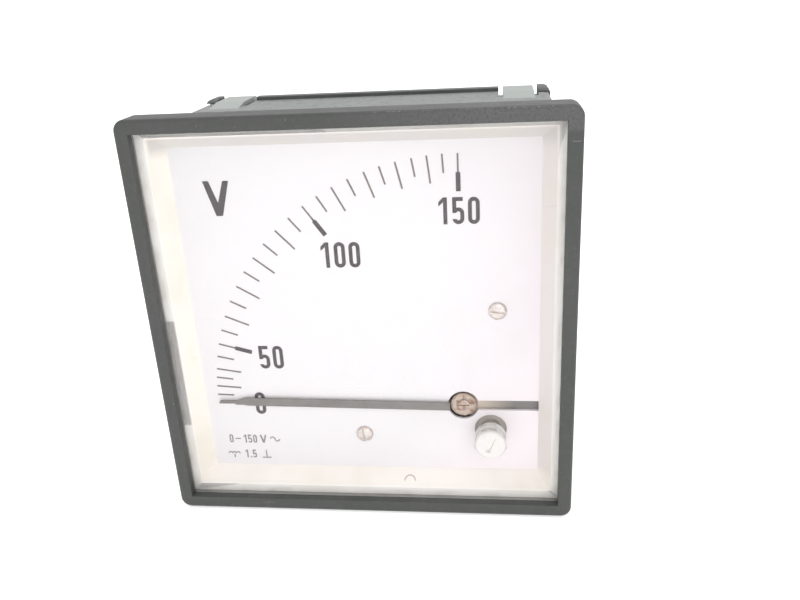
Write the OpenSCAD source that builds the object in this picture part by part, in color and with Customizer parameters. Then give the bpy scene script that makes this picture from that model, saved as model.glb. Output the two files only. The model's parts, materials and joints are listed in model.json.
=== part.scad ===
// Square analog panel meter with a quarter-circle scale and a moving-iron movement.
// Lengths are in millimetres. X runs to the right, Z up and Y from the front to the back.
// The origin is the centre of the bezel's rear face, which lies on the panel.

/* [Bezel] */
// Side of the square front frame
bezel_w = 96; // [94:0.5:100]
// Depth of the frame in front of the panel
bezel_depth = 7; // [6.5:0.1:9]
// Radius of the frame's four outer corners
bezel_corner_r = 2.5; // [1.6:0.1:4]
// Radius of the rounded front edge
bezel_edge_r = 0.8; // [0.4:0.1:1.2]
// Width of the frame seen from the front
bezel_rail_w = 3.15; // [2.9:0.05:3.6]
// Depth of the glass below the frame's face
glass_inset = 2; // [1.6:0.1:2.4]
// How far the frame's lip covers the edge of the glass
bezel_lip = 0.75; // [0.5:0.05:0.9]

/* [Window and mask] */
// Thickness of the clear window
glass_t = 2; // [1.6:0.1:2.4]
// Thickness of the mask's walls
mask_t = 0.8; // [0.6:0.05:0.9]
// Width of the mask's flat flange that shows in the window
mask_flange_w = 1.35; // [1:0.05:1.8]
// Width of the mask's sloping walls, seen from the front
mask_slope_w = 3; // [2.4:0.1:3.4]
// Distance from the back of the window to the dial
dial_gap = 4.5; // [4.3:0.1:5]

/* [Dial] */
// Thickness of the scale plate
dial_t = 0.8; // [0.6:0.1:1]
// Distance from the edge of the visible dial to the pointer's axis
spindle_margin = 17.65; // [17:0.05:18.5]
// Distance from the edge of the visible dial to the ends of the scale marks
scale_margin = 2.95; // [2.5:0.05:5]
// Length of a short mark
short_mark = 4.1; // [3:0.1:5]
// Length of a long mark
long_mark = 6.05; // [5:0.05:7]
// Length of a numbered mark
main_mark = 8.2; // [7:0.1:9]
// Width of the thin marks
mark_w = 0.38; // [0.3:0.02:0.5]
// Width of the thick inner end of a numbered mark
main_mark_w = 1; // [0.7:0.05:1.2]
// Height of the figures
figure_h = 6; // [5:0.05:6.5]
// Thickness of the printed ink
ink_t = 0.08; // [0.05:0.01:0.1]
// Gap between the bridge's boss and the edge of the hub hole
hub_gap = 0.7; // [0.65:0.01:0.9]
// Height of the slot from the hub hole to the edge of the dial
dial_slot_h = 2.6; // [1.6:0.1:2.8]
// Gap around the zero adjuster in the dial
adjuster_hole_gap = 0.25; // [0.15:0.05:0.4]

/* [Pointer] */
// Thickness of the pointer's sheet
pointer_t = 0.25; // [0.2:0.01:0.3]
// Width of the pointer's bar
pointer_w = 2.1; // [1.5:0.1:2.4]
// Width of the needle at its tip
needle_w = 0.6; // [0.4:0.05:0.8]
// Length of the needle beyond the bar
needle_len = 7; // [5:0.5:9]
// Space between the dial and the pointer
pointer_lift = 0.63; // [0.5:0.01:0.8]
// Width of the pointer's root and riser
riser_w = 1; // [0.8:0.1:1.2]
// Angle of the pointer above the zero mark at rest
rest_angle = 0.85; // [0:0.05:1.5]

/* [Zero adjuster] */
// Radius of the adjuster's head
adjuster_r = 3.6; // [3.4:0.05:3.8]
// Height of the head in front of the glass
adjuster_proud = 1; // [0.6:0.1:1.3]
// Length of the adjuster behind the glass
adjuster_tail = 1.5; // [1:0.1:2]
// Length of the window's collar that guides the adjuster behind the glass
collar_len = 1; // [0.6:0.1:1]
// Wall of that collar
collar_wall = 0.9; // [0.7:0.1:1]
// Distance from the pointer's axis to the adjuster's axis
adjuster_distance = 9.05; // [8.9:0.05:9.4]
// Eccentricity of the crank pin
crank_e = 1.55; // [1.3:0.05:1.8]
// Radius of the crank pin
crank_pin_r = 0.6; // [0.5:0.05:0.7]
// Width of the screwdriver slot in the head
slot_w = 0.9; // [0.7:0.1:1.1]

/* [Movement] */
// Radius of the spindle
spindle_r = 0.6; // [0.5:0.05:0.7]
// Radius of the spindle's pivots
pivot_r = 0.25; // [0.2:0.01:0.3]
// Room between the movement's base plate and the rear cover
rear_room = 4.5; // [4:0.1:6]
// Outer radius of the coil former's flanges
coil_flange_r = 17; // [16:0.1:17.1]
// Radius of the bore that holds the irons
coil_bore_r = 7.6; // [7:0.1:8]
// Height of the front bridge above the front plate
bridge_h = 8.4; // [8.2:0.1:9]
// Thickness of the front bridge
bridge_t = 0.8; // [0.7:0.05:0.9]
// Distance from the axis to the leg of the bridge
bridge_reach = 11.4; // [11.3:0.1:12]
// Radius of the boss on the bridge
boss_r = 3; // [2.8:0.05:3.05]
// Thickness of the movement's front plate
front_plate_t = 1.2; // [1:0.1:1.5]
// Thickness of the movement's base plate
base_plate_t = 2.5; // [2:0.1:3]
// Half of the distance between the frame pillars
pillar_pitch = 13.4; // [13.3:0.05:13.8]
// Radius of the frame pillars
pillar_r = 1.75; // [1.4:0.05:1.8]
// Radius of the hairspring's outer turn
spring_r = 6; // [5:0.1:6]
// Number of turns of the hairspring
spring_turns = 5; // [3:1:6]
// Outer radius of the damping vane
vane_r = 15; // [13:0.5:16]

/* [Case] */
// How far the bezel stands out beyond the case on each side
panel_overlap = 3.5; // [3.2:0.1:3.8]
// Depth of the case behind the panel
case_depth = 43; // [42.5:0.1:46]
// Thickness of the case's walls
case_t = 1.3; // [1.1:0.05:1.5]
// Radius of the case's long edges
case_corner_r = 2; // [1:0.1:2.2]
// Thickness of the rear cover
cover_t = 3; // [2.6:0.1:4]
// Height of the cover's rim above the case
cover_rim = 0.9; // [0.6:0.05:1.1]
// Width of a snap tongue
tongue_w = 7.5; // [6:0.5:9]
// Distance of a snap tongue's middle from the side of the case
tongue_inset = 8.05; // [7.9:0.05:9]
// Width of the slots beside a tongue
tongue_slot = 1.1; // [0.8:0.1:1.3]
// Length of the slots beside a tongue
tongue_len = 9; // [8:0.5:12]

/* [Terminals] */
// Distance between the two terminal studs
terminal_pitch = 25; // [22:0.5:27]
// Height of the studs above the centre
terminal_z = 12; // [10:0.5:14]
// Radius of a terminal stud's free end
stud_r = 2; // [1.5:0.25:2.5]
// How much the stud's shank in the cover is thicker than its free end
shank_step = 0.25; // [0.2:0.05:0.4]
// Length of the stud behind the rear cover
stud_len = 16; // [14.5:0.5:20]

/* [Fits] */
// Running clearance in bearings, on the radius
running_gap = 0.05; // [0.02:0.01:0.09]
// Clearance between a fixed piece and its seat
seat_gap = 0.1; // [0.05:0.01:0.12]
// Clearance on each side of the crank pin in its fork
fork_gap = 0.12; // [0.1:0.01:0.2]

/* [Hidden] */
$fn = 48;

// Colours
C_FRAME = [0.22, 0.23, 0.22];
C_CASE = [0.25, 0.26, 0.26];
C_COVER = [0.16, 0.16, 0.17];
C_CREAM = [0.9, 0.88, 0.84];
C_DIAL = [0.97, 0.96, 0.96];
C_INK = [0.36, 0.34, 0.35];
C_BRASS = [0.75, 0.6, 0.3];
C_STEEL = [0.65, 0.66, 0.68];
C_ALU = [0.8, 0.81, 0.82];
C_COPPER = [0.7, 0.36, 0.18];

// Depths of the faces, from front to back
y_front = -bezel_depth;
y_glass = y_front + glass_inset;
y_glass_back = y_glass + glass_t;
y_case_mouth = y_glass_back + mask_t;
y_dial = y_glass_back + dial_gap;
y_dial_back = y_dial + dial_t;
bridge_gap = 0.3;
y_bridge = y_dial_back + bridge_gap;
y_bridge_back = y_bridge + bridge_t;
y_plate = y_bridge_back + bridge_h;
y_coil = y_plate + front_plate_t;
y_cover = case_depth;
y_cover_back = y_cover + cover_t;
y_base_back = y_cover - rear_room;
y_base = y_base_back - base_plate_t;

// Half sizes of the square openings and of what fits in them
window_half = bezel_w / 2 - bezel_rail_w;
pocket_half = window_half + bezel_lip;
glass_half = pocket_half - seat_gap;
mask_half = window_half - mask_flange_w;
dial_half_seen = mask_half - mask_slope_w;
case_half = bezel_w / 2 - panel_overlap;
case_inner = case_half - case_t;
tongue_x = case_half - tongue_inset;

// The pointer's axis, the radius of the scale and the adjuster's axis
sx = dial_half_seen - spindle_margin;
sz = -sx;
scale_r = dial_half_seen + sx - scale_margin;
ax = sx + adjuster_distance * cos(45);
az = sz - adjuster_distance * sin(45);
hub_hole_r = boss_r + hub_gap;

// Draws a 2D shape, with its second axis along Z, as a slab between two depths
module slab(y0, y1)
    translate([0, y1, 0]) rotate([90, 0, 0]) linear_extrude(y1 - y0) children();

// Turns a profile of [radius, depth] points about the line parallel to Y through x, z
module turned(x, z, points)
    translate([x, 0, z]) rotate([-90, 0, 0]) rotate_extrude() polygon(points);

module rod(x, z, r, y0, y1)
    translate([x, y0, z]) rotate([-90, 0, 0]) cylinder(r = r, h = y1 - y0);

// Moves 2D or 3D children to the pointer's axis
module at_spindle() translate([sx, 0, sz]) children();
module at_adjuster() translate([ax, 0, az]) children();

module rounded_square(half, r, half_z = undef) {
    hz = is_undef(half_z) ? half : half_z;
    square([2 * half, 2 * (hz - r)], center = true);
    square([2 * (half - r), 2 * hz], center = true);
    for (i = [-1, 1], j = [-1, 1])
        translate([i * (half - r), j * (hz - r)]) circle(r);
}

// A screw along Y with its slotted head at the depth y0, pointing back
module slotted_screw(x, z, head_r, head_h, shank_r, length, y0, turn, slot = 0.5) {
    slot_depth = head_h * 0.5;
    difference() {
        union() {
            rod(x, z, head_r, y0, y0 + head_h);
            rod(x, z, shank_r, y0 + head_h, y0 + head_h + length);
        }
        translate([x, y0, z]) rotate([0, turn, 0])
            cube([2 * head_r + 1, 2 * slot_depth, slot], center = true);
    }
}

/* ---- bezel, window and mask ---- */

edge_steps = 6;
function edge_arc(r_out, y0, e) =
    [for (i = [0:edge_steps]) let (a = 90 * i / edge_steps)
        [r_out - e + e * sin(a), y0 + e - e * cos(a)]];

// Solid square block with round upright corners and a rounded front edge
module bezel_block() {
    h = bezel_w / 2;
    r = bezel_corner_r;
    arc = edge_arc(r, y_front, bezel_edge_r);
    side = edge_arc(h, y_front, bezel_edge_r);
    back = [for (i = [edge_steps:-1:0]) [-side[i][0], side[i][1]]];
    for (i = [-1, 1], j = [-1, 1])
        turned(i * (h - r), j * (h - r), concat([[0, y_front]], arc, [[r, 0], [0, 0]]));
    section = concat([[-h, 0]], back, side, [[h, 0]]);
    linear_extrude(2 * (h - r), center = true) polygon(section);
    rotate([0, 90, 0]) linear_extrude(2 * (h - r), center = true) polygon(section);
}

nib_len = 10;
nib_h = 0.5;
nib_y = y_case_mouth + 0.4;
nib_depth = 0.9;
// Places the snap nibs on the four sides of a square
module at_nibs()
    for (a = [0:90:270], s = [-1, 1]) rotate([0, a, 0]) translate([0, 0, s * bezel_w / 4]) children();

// Square frame with mitred corners, from a profile of [distance from the axis, depth] points
module mitred_frame(half, points)
    for (a = [0:90:270]) rotate([0, a, 0]) intersection() {
        linear_extrude(4 * half, center = true) polygon(points);
        slab(-bezel_w, bezel_w) polygon([[0, 0], [bezel_w, bezel_w], [bezel_w, -bezel_w]]);
    }

module bezel() color(C_FRAME) {
    opening_chamfer = 0.2;
    difference() {
        bezel_block();
        slab(y_front - 1, y_glass + 0.01) square(2 * window_half, center = true);
        mitred_frame(window_half + opening_chamfer, [
            [window_half - 1, y_front - 1], [window_half - 1, y_front + opening_chamfer],
            [window_half, y_front + opening_chamfer], [window_half + opening_chamfer + 1, y_front - 1]]);
        slab(y_glass, 1) square(2 * pocket_half, center = true);
        at_nibs() translate([pocket_half - 1, nib_y - seat_gap, -nib_len / 2 - seat_gap])
            cube([1 + nib_h + seat_gap, nib_depth + 2 * seat_gap, nib_len + 2 * seat_gap]);
    }
}

adjuster_neck_r = adjuster_r - 0.3;
collar_gap = 0.1;
// Pane with a moulded collar in which the adjuster turns
module window() color([0.85, 0.9, 0.92, 0.35])
    difference() {
        union() {
            slab(y_glass, y_glass_back) square(2 * glass_half, center = true);
            rod(ax, az, adjuster_r + collar_gap + collar_wall, y_glass_back - glass_t / 2,
                y_glass_back + collar_len);
        }
        rod(ax, az, adjuster_neck_r + running_gap, y_glass - 1, y_glass_back + 1);
        rod(ax, az, adjuster_r + collar_gap, y_glass_back, y_glass_back + collar_len + 1);
    }

mask_wall = mask_t * norm([mask_slope_w, dial_gap]) / dial_gap;
mask_outer = pocket_half - seat_gap;
function mask_back(y) = dial_half_seen + mask_wall + (y_dial - y) * mask_slope_w / dial_gap;
module mask() color(C_CREAM)
    mitred_frame(mask_outer, [
        [dial_half_seen, y_dial], [mask_half, y_glass_back], [mask_outer, y_glass_back],
        [mask_outer, y_case_mouth], [mask_back(y_case_mouth), y_case_mouth],
        [dial_half_seen + mask_wall, y_dial]]);

/* ---- dial ---- */

dial_half = case_inner - 0.3;
// Places of the dial screws, from the pointer's axis
upper_screw = [8.2, 24.4];
lower_screw = [-24.4, -8.2];
dial_screw_r = 1.25;
dial_head_r = 2.1;
dial_head_h = 0.85;

module dial_plate() color(C_DIAL)
    difference() {
        slab(y_dial, y_dial_back) square(2 * dial_half, center = true);
        rod(sx, sz, hub_hole_r, y_dial - 1, y_dial_back + 1);
        translate([sx, y_dial - 1, sz - dial_slot_h / 2])
            cube([bezel_w, dial_t + 2, dial_slot_h]);
        rod(ax, az, adjuster_r + adjuster_hole_gap, y_dial - 1, y_dial_back + 1);
        for (p = [upper_screw, lower_screw])
            rod(sx + p[0], sz + p[1], dial_screw_r + seat_gap, y_dial - 1, y_dial_back + 1);
    }

// Scale values and their angles above the zero mark: crowded at first, then nearly even
scale_points = [[0, 0], [40, 9], [50, 15.45], [60, 22.7], [80, 38.7], [100, 55.2], [120, 70.4],
                [135, 80.6], [150, 90]];
full_scale = 150;
function scale_angle(v) = lookup(v, scale_points);

// Draws a 2D mark that runs from r0 to r1 at an angle above the line to the left of the axis
module mark(angle, r0, r1, w)
    translate([sx, sz]) rotate(180 - angle) translate([r0, -w / 2]) square([r1 - r0, w]);

module scale_marks() {
    for (v = [10:20:30]) mark(scale_angle(v), scale_r - short_mark, scale_r, mark_w);
    for (v = [20:20:40]) mark(scale_angle(v), scale_r - long_mark, scale_r, mark_w);
    for (v = [45:10:145]) mark(scale_angle(v), scale_r - short_mark, scale_r, mark_w);
    for (v = [60:10:140]) if (v % 50 != 0)
        mark(scale_angle(v), scale_r - long_mark, scale_r, mark_w);
    for (v = [0:50:full_scale]) {
        mark(scale_angle(v), scale_r - main_mark / 2, scale_r, mark_w);
        mark(scale_angle(v), scale_r - main_mark, scale_r - main_mark / 2, main_mark_w);
    }
}

// Figures of unit height, each centred in its own width
stroke = 0.14;
figure_w = 0.42;
module pill(w, h) {
    square([w, h - w], center = true);
    for (s = [-1, 1]) translate([0, s * (h - w) / 2]) circle(d = w);
}
module figure_0() difference() {
    pill(figure_w, 1);
    pill(figure_w - 2 * stroke, 1 - 2 * stroke);
}
module figure_1() {
    translate([0.02, -0.5]) square([stroke, 1]);
    polygon([[0.02, 0.5], [-0.15, 0.33], [-0.15, 0.17], [0.02 + stroke, 0.45], [0.02 + stroke, 0.5]]);
}
bowl_h = 0.62;
module figure_5() {
    translate([-figure_w / 2, 0.5 - stroke]) square([figure_w * 0.9, stroke]);
    translate([-figure_w / 2, -0.08]) square([stroke, 0.58]);
    translate([0, bowl_h / 2 - 0.5]) difference() {
        pill(figure_w, bowl_h);
        pill(figure_w - 2 * stroke, bowl_h - 2 * stroke);
        translate([-figure_w / 2 - 0.1, -0.12]) square([figure_w / 2 + 0.1, 0.25]);
    }
}
module figure_v() {
    w = 0.75;
    t = 0.17;
    polygon([[-w / 2, 0.5], [-w / 2 + t, 0.5], [0, -0.5 + 2.2 * t], [w / 2 - t, 0.5], [w / 2, 0.5],
             [t * 0.55, -0.5], [-t * 0.55, -0.5]]);
}
figure_pitch = 0.56;
// Sets a row of figures centred at x, z: 0, 1 and 5 are themselves, 9 stands for V
module figures(list, x, z, h)
    translate([x, z]) scale(h) for (i = [0:len(list) - 1])
        translate([(i - (len(list) - 1) / 2) * figure_pitch, 0]) {
            if (list[i] == 0) figure_0();
            if (list[i] == 1) figure_1();
            if (list[i] == 5) figure_5();
            if (list[i] == 9) figure_v();
        }

// Small plain marks: alternating current, upright mounting and a coil with its iron
sign_line = 0.12;
module wave(h) scale(h) for (s = [-1, 1]) translate([s / 4, 0]) difference() {
    circle(d = 0.5 + sign_line);
    circle(d = 0.5 - sign_line);
    translate([-1, s > 0 ? 0 : -1]) square([2, 1]);
}
module upright_sign(h) scale(h) {
    translate([-sign_line / 2, -0.5]) square([sign_line, 1]);
    translate([-0.5, -0.5]) square([1, sign_line]);
}
module iron_sign(h) scale(h) {
    for (i = [0:2]) translate([(i - 1) * 0.42, 0]) difference() {
        circle(d = 0.42 + sign_line);
        circle(d = 0.42 - sign_line);
        translate([-1, -2]) square([2, 2]);
    }
    translate([-sign_line / 2, -0.5]) square([sign_line, 0.4]);
}

figure_gap = 4.6;
figure_r = scale_r - main_mark - figure_gap;
unit_h = 7.95;
unit_inset = [9.9, 11.6];
small_h = 2.3;
small_row = 3;
row_pitch = 4.4;
row_x = -dial_half_seen + 4.7;
// Steps along a row of small marks, in small figure heights
row_step = [0, 0.75, 2.1, 3.6, 4.9];
second_step = [0.1, 1.5, 1.9, 2.4, 3.75];
// Place of a numbered value's figures, moved a little so that they clear the marks
function figure_at(v, dx, dz) = [sx - figure_r * cos(scale_angle(v)) + dx,
                                 sz + figure_r * sin(scale_angle(v)) + dz];
module row_of(list, p, h) figures(list, p[0], p[1], h);
module dial_print() color(C_INK) slab(y_dial - ink_t, y_dial) {
    upper_z = -dial_half_seen + small_row + row_pitch;
    lower_z = -dial_half_seen + small_row;
    dash_w = 0.6 * small_h;
    dash_h = 0.12 * small_h;
    scale_marks();
    row_of([0], figure_at(0, -figure_h * 0.38, 0), figure_h);
    row_of([5, 0], figure_at(50, figure_h * 0.03, -figure_h * 0.02), figure_h);
    row_of([1, 0, 0], figure_at(100, figure_h * 0.04, -figure_h * 0.15), figure_h);
    row_of([1, 5, 0], figure_at(150, -figure_h * 0.02, figure_h * 0.05), figure_h);
    figures([9], -dial_half_seen + unit_inset[0], dial_half_seen - unit_inset[1], unit_h);
    figures([0], row_x + row_step[0] * small_h, upper_z, small_h);
    translate([row_x + row_step[1] * small_h, upper_z]) square([dash_w, dash_h], center = true);
    figures([1, 5, 0], row_x + row_step[2] * small_h, upper_z, small_h);
    figures([9], row_x + row_step[3] * small_h, upper_z, small_h);
    translate([row_x + row_step[4] * small_h, upper_z]) wave(small_h);
    translate([row_x + second_step[0] * small_h, lower_z]) iron_sign(small_h);
    figures([1], row_x + second_step[1] * small_h, lower_z, small_h);
    translate([row_x + second_step[2] * small_h, lower_z - small_h / 2])
        square(dash_h * 1.3, center = false);
    figures([5], row_x + second_step[3] * small_h, lower_z, small_h);
    translate([row_x + second_step[4] * small_h, lower_z]) upright_sign(small_h);
}

module dial_screw(p, turn)
    slotted_screw(sx + p[0], sz + p[1], dial_head_r, dial_head_h, dial_screw_r, 7,
                  y_dial - dial_head_h, turn, 0.55);
module dial_screw_upper() color(C_STEEL) dial_screw(upper_screw, 8);
module dial_screw_lower() color(C_STEEL) dial_screw(lower_screw, 78);

/* ---- case and rear cover ---- */

flange_half = pocket_half - seat_gap;
rim_half = case_half + cover_rim;
tongue_over = cover_rim - seat_gap;
barb = 0.6;
barb_t = 0.85;
groove_w = 1;
groove_depth = 0.6;
groove_len = 8;
groove_pitch = 3;
groove_count = 6;
groove_first = 10;

// A tongue runs along the wall, rises to the cover's rim and hooks behind the cover
module tongue() {
    y0 = y_cover - tongue_len - 4;
    y1 = y_cover_back + 0.05;
    z_in = case_inner;
    z_out = case_half + tongue_over;
    translate([-tongue_w / 2, 0, 0]) rotate([90, 0, 90]) linear_extrude(tongue_w) polygon([
        [y0, case_half - 0.1], [y0, case_half], [y0 + 6, z_out], [y1 + barb_t - 0.4, z_out],
        [y1 + barb_t, z_out - 0.4], [y1 + barb_t, z_in + 0.4], [y1 + 0.1, z_in - seat_gap - barb],
        [y1, z_in - seat_gap - barb], [y1, z_in], [y0, z_in]]);
}

module at_tongues()
    for (i = [-1, 1], flip = [0, 180]) rotate([0, flip, 0]) translate([i * tongue_x, 0, 0]) children();

module case() color(C_CASE) {
    mask_gap = 0.15;
    relief_end = y_dial - (case_inner - mask_gap - dial_half_seen - mask_wall) * dial_gap / mask_slope_w;
    difference() {
        union() {
            slab(y_case_mouth, 0) rounded_square(flange_half, 1.2);
            slab(-0.01, y_cover) rounded_square(case_half, case_corner_r);
            at_nibs() translate([flange_half, 0, -nib_len / 2]) linear_extrude(nib_len)
                polygon([[-0.5, nib_y], [nib_h, nib_y + nib_depth / 2], [nib_h, nib_y + nib_depth],
                         [-0.5, nib_y + nib_depth]]);
        }
        slab(y_case_mouth - 1, y_cover + 1) rounded_square(case_inner, 0.6);
        slab(y_case_mouth - 1, relief_end)
            square(2 * (mask_back(y_case_mouth) + mask_gap), center = true);
        at_tongues() for (s = [-1, 1])
            translate([s * (tongue_w + tongue_slot) / 2 - tongue_slot / 2, y_cover - tongue_len,
                       case_half - 4])
                cube([tongue_slot, tongue_len + 1, 8]);
        for (side = [-1, 1], end = [-1, 1], i = [0:groove_count - 1])
            translate([side * case_half, groove_first + groove_pitch * i, end * case_half / 2])
                cube([2 * groove_depth, groove_w, groove_len], center = true);
    }
    at_tongues() tongue();
}

corner_pad_h = cover_rim + 0.2;
corner_pad_x = tongue_x + tongue_w / 2 + tongue_slot;
spigot_wall = 1.2;
spigot_len = 2.5;
boss_wall = 1.9;
terminal_pad = 1;
function pillar_spots() = [for (i = [-1, 1], j = [-1, 1]) [sx + i * pillar_pitch, sz + j * pillar_pitch]];
movement_screw_r = 1;
movement_head_r = 2.1;
movement_head_h = 1.6;
board_x = -18;
board_z = 28;
board_w = 26;
board_h = 14;
board_t = 1.6;
board_post = 2.8;
function board_posts() = [for (i = [-1, 1]) [board_x + i * (board_w / 2 - 3), board_z - 3.5]];
function terminals() = [for (i = [-1, 1]) [i * terminal_pitch / 2, terminal_z]];

// Corner pad that laps over the end of the case, with a sloping front
module corner_pad() {
    h = case_half + corner_pad_h;
    x1 = case_half - 0.6;
    intersection() {
        translate([corner_pad_x, 0, 0]) rotate([90, 0, 90]) linear_extrude(x1 - corner_pad_x)
            polygon([[y_cover - 4, case_half + seat_gap], [y_cover - 4, case_half + 0.3],
                     [y_cover - 1.5, h], [y_cover_back, h], [y_cover_back, case_half - 2],
                     [y_cover, case_half - 2], [y_cover, case_half + seat_gap]]);
        slab(y_cover - 5, y_cover_back + 1) rounded_square(case_half + 0.1, case_corner_r, h);
    }
}

module rear_cover() color(C_COVER)
    difference() {
        union() {
            slab(y_cover, y_cover_back) rounded_square(case_half + 0.1, case_corner_r, rim_half);
            for (m = [0, 1], flip = [0, 180]) rotate([0, flip, 0]) mirror([m, 0, 0]) corner_pad();
            difference() {
                slab(y_cover - spigot_len, y_cover + 0.01)
                    rounded_square(case_inner - seat_gap, 0.6);
                slab(y_cover - spigot_len - 1, y_cover)
                    square(2 * (case_inner - seat_gap - spigot_wall), center = true);
            }
            for (p = pillar_spots())
                rod(p[0], p[1], movement_screw_r + boss_wall, y_base_back, y_cover + 0.01);
            for (p = board_posts()) rod(p[0], p[1], 2.2, y_cover - board_post, y_cover + 0.01);
            for (p = terminals()) rod(p[0], p[1], 6.5, y_cover_back - 0.01, y_cover_back + terminal_pad);
        }
        at_tongues() translate([-tongue_w / 2 - tongue_slot, y_cover - spigot_len - 2,
                                case_inner - seat_gap])
            cube([tongue_w + 2 * tongue_slot, cover_t + spigot_len + 4, 8]);
        for (p = pillar_spots()) {
            rod(p[0], p[1], movement_screw_r + seat_gap, y_base_back - 1, y_cover_back + 1);
            rod(p[0], p[1], movement_head_r + 0.2, y_cover_back - movement_head_h, y_cover_back + 1);
        }
        for (p = board_posts()) rod(p[0], p[1], 0.8, y_cover - board_post - 1, y_cover);
        for (p = terminals())
            rod(p[0], p[1], stud_r + shank_step + seat_gap, y_cover - 1, y_cover_back + 3);
    }

/* ---- movement frame ---- */

plate_half = pillar_pitch + 3;
arm_r = 3.2;
screw_core = 1.4;
sleeve_r = 2;
lever_gap = 0.1;
lever_t = 0.5;
y_lever = y_bridge_back + lever_gap;
y_sleeve = y_lever + lever_t + lever_gap;
y_root = y_sleeve + 0.4;
y_blade = y_dial - pointer_lift - pointer_t;
shoulder_gap = 0.25;
y_shoulder = y_sleeve + shoulder_gap;
y_rear_screw = y_base - 0.35;
y_rear_shoulder = y_rear_screw - shoulder_gap;
pivot_len = 0.63;
jewel_r = 0.78;
jewel_t = 0.75;
foot_len = 6.2;
leg_w = 2 * boss_r;
foot_screw = [3.6, 1.6];

// Bent strip: the boss over the axis, an arm to the right, a leg back and a foot on the plate
module front_bridge() color(C_BRASS)
    difference() {
        union() {
            at_spindle() {
                rod(0, 0, boss_r, y_dial + 0.4, y_bridge_back);
                rod(0, 0, sleeve_r, y_bridge_back - 0.01, y_sleeve);
                translate([0, y_bridge, -leg_w / 2]) cube([bridge_reach + bridge_t, bridge_t, leg_w]);
                translate([bridge_reach, y_bridge, -leg_w / 2])
                    cube([bridge_t, y_plate - y_bridge, leg_w]);
                translate([bridge_reach, y_plate - bridge_t, -leg_w / 2 - 1.2])
                    cube([foot_len, bridge_t, leg_w + 2.4]);
            }
        }
        rod(sx, sz, screw_core + 0.02, y_dial - 1, y_sleeve + 1);
        for (s = [-1, 1])
            rod(sx + bridge_reach + foot_screw[0], sz + s * (boss_r - 0.6), 0.85, y_plate - 2, y_plate + 1);
    }

module bridge_screws() color(C_STEEL)
    for (s = [-1, 1])
        slotted_screw(sx + bridge_reach + foot_screw[0], sz + s * (boss_r - 0.6), foot_screw[1], 0.8, 0.8,
                      bridge_t + front_plate_t, y_plate - bridge_t - 0.8, 30 * s, 0.4);

// Bearing screw with a slotted outer end and a jewel cup set in its inner end
module bearing_screw(y_out, y_in) {
    d = sign(y_in - y_out);
    difference() {
        rod(sx, sz, screw_core, min(y_out, y_in), max(y_out, y_in));
        translate([sx, y_out, sz]) cube([4, 0.8, 0.4], center = true);
        rod(sx, sz, jewel_r + 0.02, d > 0 ? y_in - jewel_t : y_in - 1, d > 0 ? y_in + 1 : y_in + jewel_t);
    }
}
module front_bearing_screw() color(C_COPPER) bearing_screw(y_dial - 0.1, y_sleeve);
module rear_bearing_screw() color(C_BRASS) bearing_screw(y_base_back + 0.8, y_rear_screw);

jewel_hole = 0.48;
module jewel(y_mouth, d) color([0.75, 0.2, 0.3])
    difference() {
        rod(sx, sz, jewel_r, min(y_mouth, y_mouth + d * jewel_t), max(y_mouth, y_mouth + d * jewel_t));
        rod(sx, sz, pivot_r + running_gap, min(y_mouth - d, y_mouth + d * jewel_hole),
            max(y_mouth - d, y_mouth + d * jewel_hole));
    }
module front_jewel() jewel(y_sleeve, -1);
module rear_jewel() jewel(y_rear_screw, 1);

module plate_arm(p) {
    n = norm(p);
    rotate(atan2(p[1], p[0])) translate([0, -arm_r]) square([n, 2 * arm_r]);
    translate(p) circle(arm_r);
}
module front_plate() color(C_STEEL)
    difference() {
        slab(y_plate, y_coil) translate([sx, sz]) {
            rounded_square(plate_half, 3);
            plate_arm(upper_screw);
            plate_arm(lower_screw);
        }
        rod(sx, sz, coil_bore_r + 1, y_plate - 1, y_coil + 1);
        for (p = [upper_screw, lower_screw])
            rod(sx + p[0], sz + p[1], 1.05, y_plate - 1, y_coil + 1);
        for (s = [-1, 1])
            rod(sx + bridge_reach + foot_screw[0], sz + s * (boss_r - 0.6), 0.85, y_plate - 1, y_coil + 1);
        for (p = pillar_spots()) rod(p[0], p[1], 1.05, y_plate - 1, y_coil + 1);
        for (s = [-1, 1]) rod(sx - magnet_x, sz + s * 5.2, 0.85, y_plate - 1, y_coil + 1);
    }

// Column between the front plate and the dial, riveted into the plate
module dial_pillar(p) color(C_BRASS)
    difference() {
        union() {
            rod(sx + p[0], sz + p[1], 2.5, y_dial_back, y_plate);
            rod(sx + p[0], sz + p[1], 1, y_plate - 0.01, y_coil + 0.3);
        }
        rod(sx + p[0], sz + p[1], dial_screw_r + 0.02, y_dial_back - 1, y_dial_back + 7.2);
    }
module dial_pillar_upper() dial_pillar(upper_screw);
module dial_pillar_lower() dial_pillar(lower_screw);

module frame_pillars() color(C_BRASS)
    for (p = pillar_spots()) {
        rod(p[0], p[1], pillar_r, y_coil, y_base);
        rod(p[0], p[1], 1, y_plate - 0.3, y_coil + 0.01);
    }

module base_plate() color(C_COVER)
    difference() {
        slab(y_base, y_base_back) translate([sx, sz]) rounded_square(plate_half, 3);
        rod(sx, sz, screw_core + 0.02, y_base - 1, y_base_back + 1);
        for (p = pillar_spots())
            rod(p[0], p[1], movement_screw_r + 0.02, y_base + 0.5, y_base_back + 1);
    }

module movement_screws() color(C_STEEL)
    for (p = pillar_spots()) mirror([0, 1, 0])
        slotted_screw(p[0], p[1], movement_head_r, movement_head_h - 0.2, movement_screw_r,
                      y_cover_back - y_base - movement_head_h - 0.8 + 0.2, 0.2 - y_cover_back, 20 + p[0], 0.5);

/* ---- coil and irons ---- */

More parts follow.
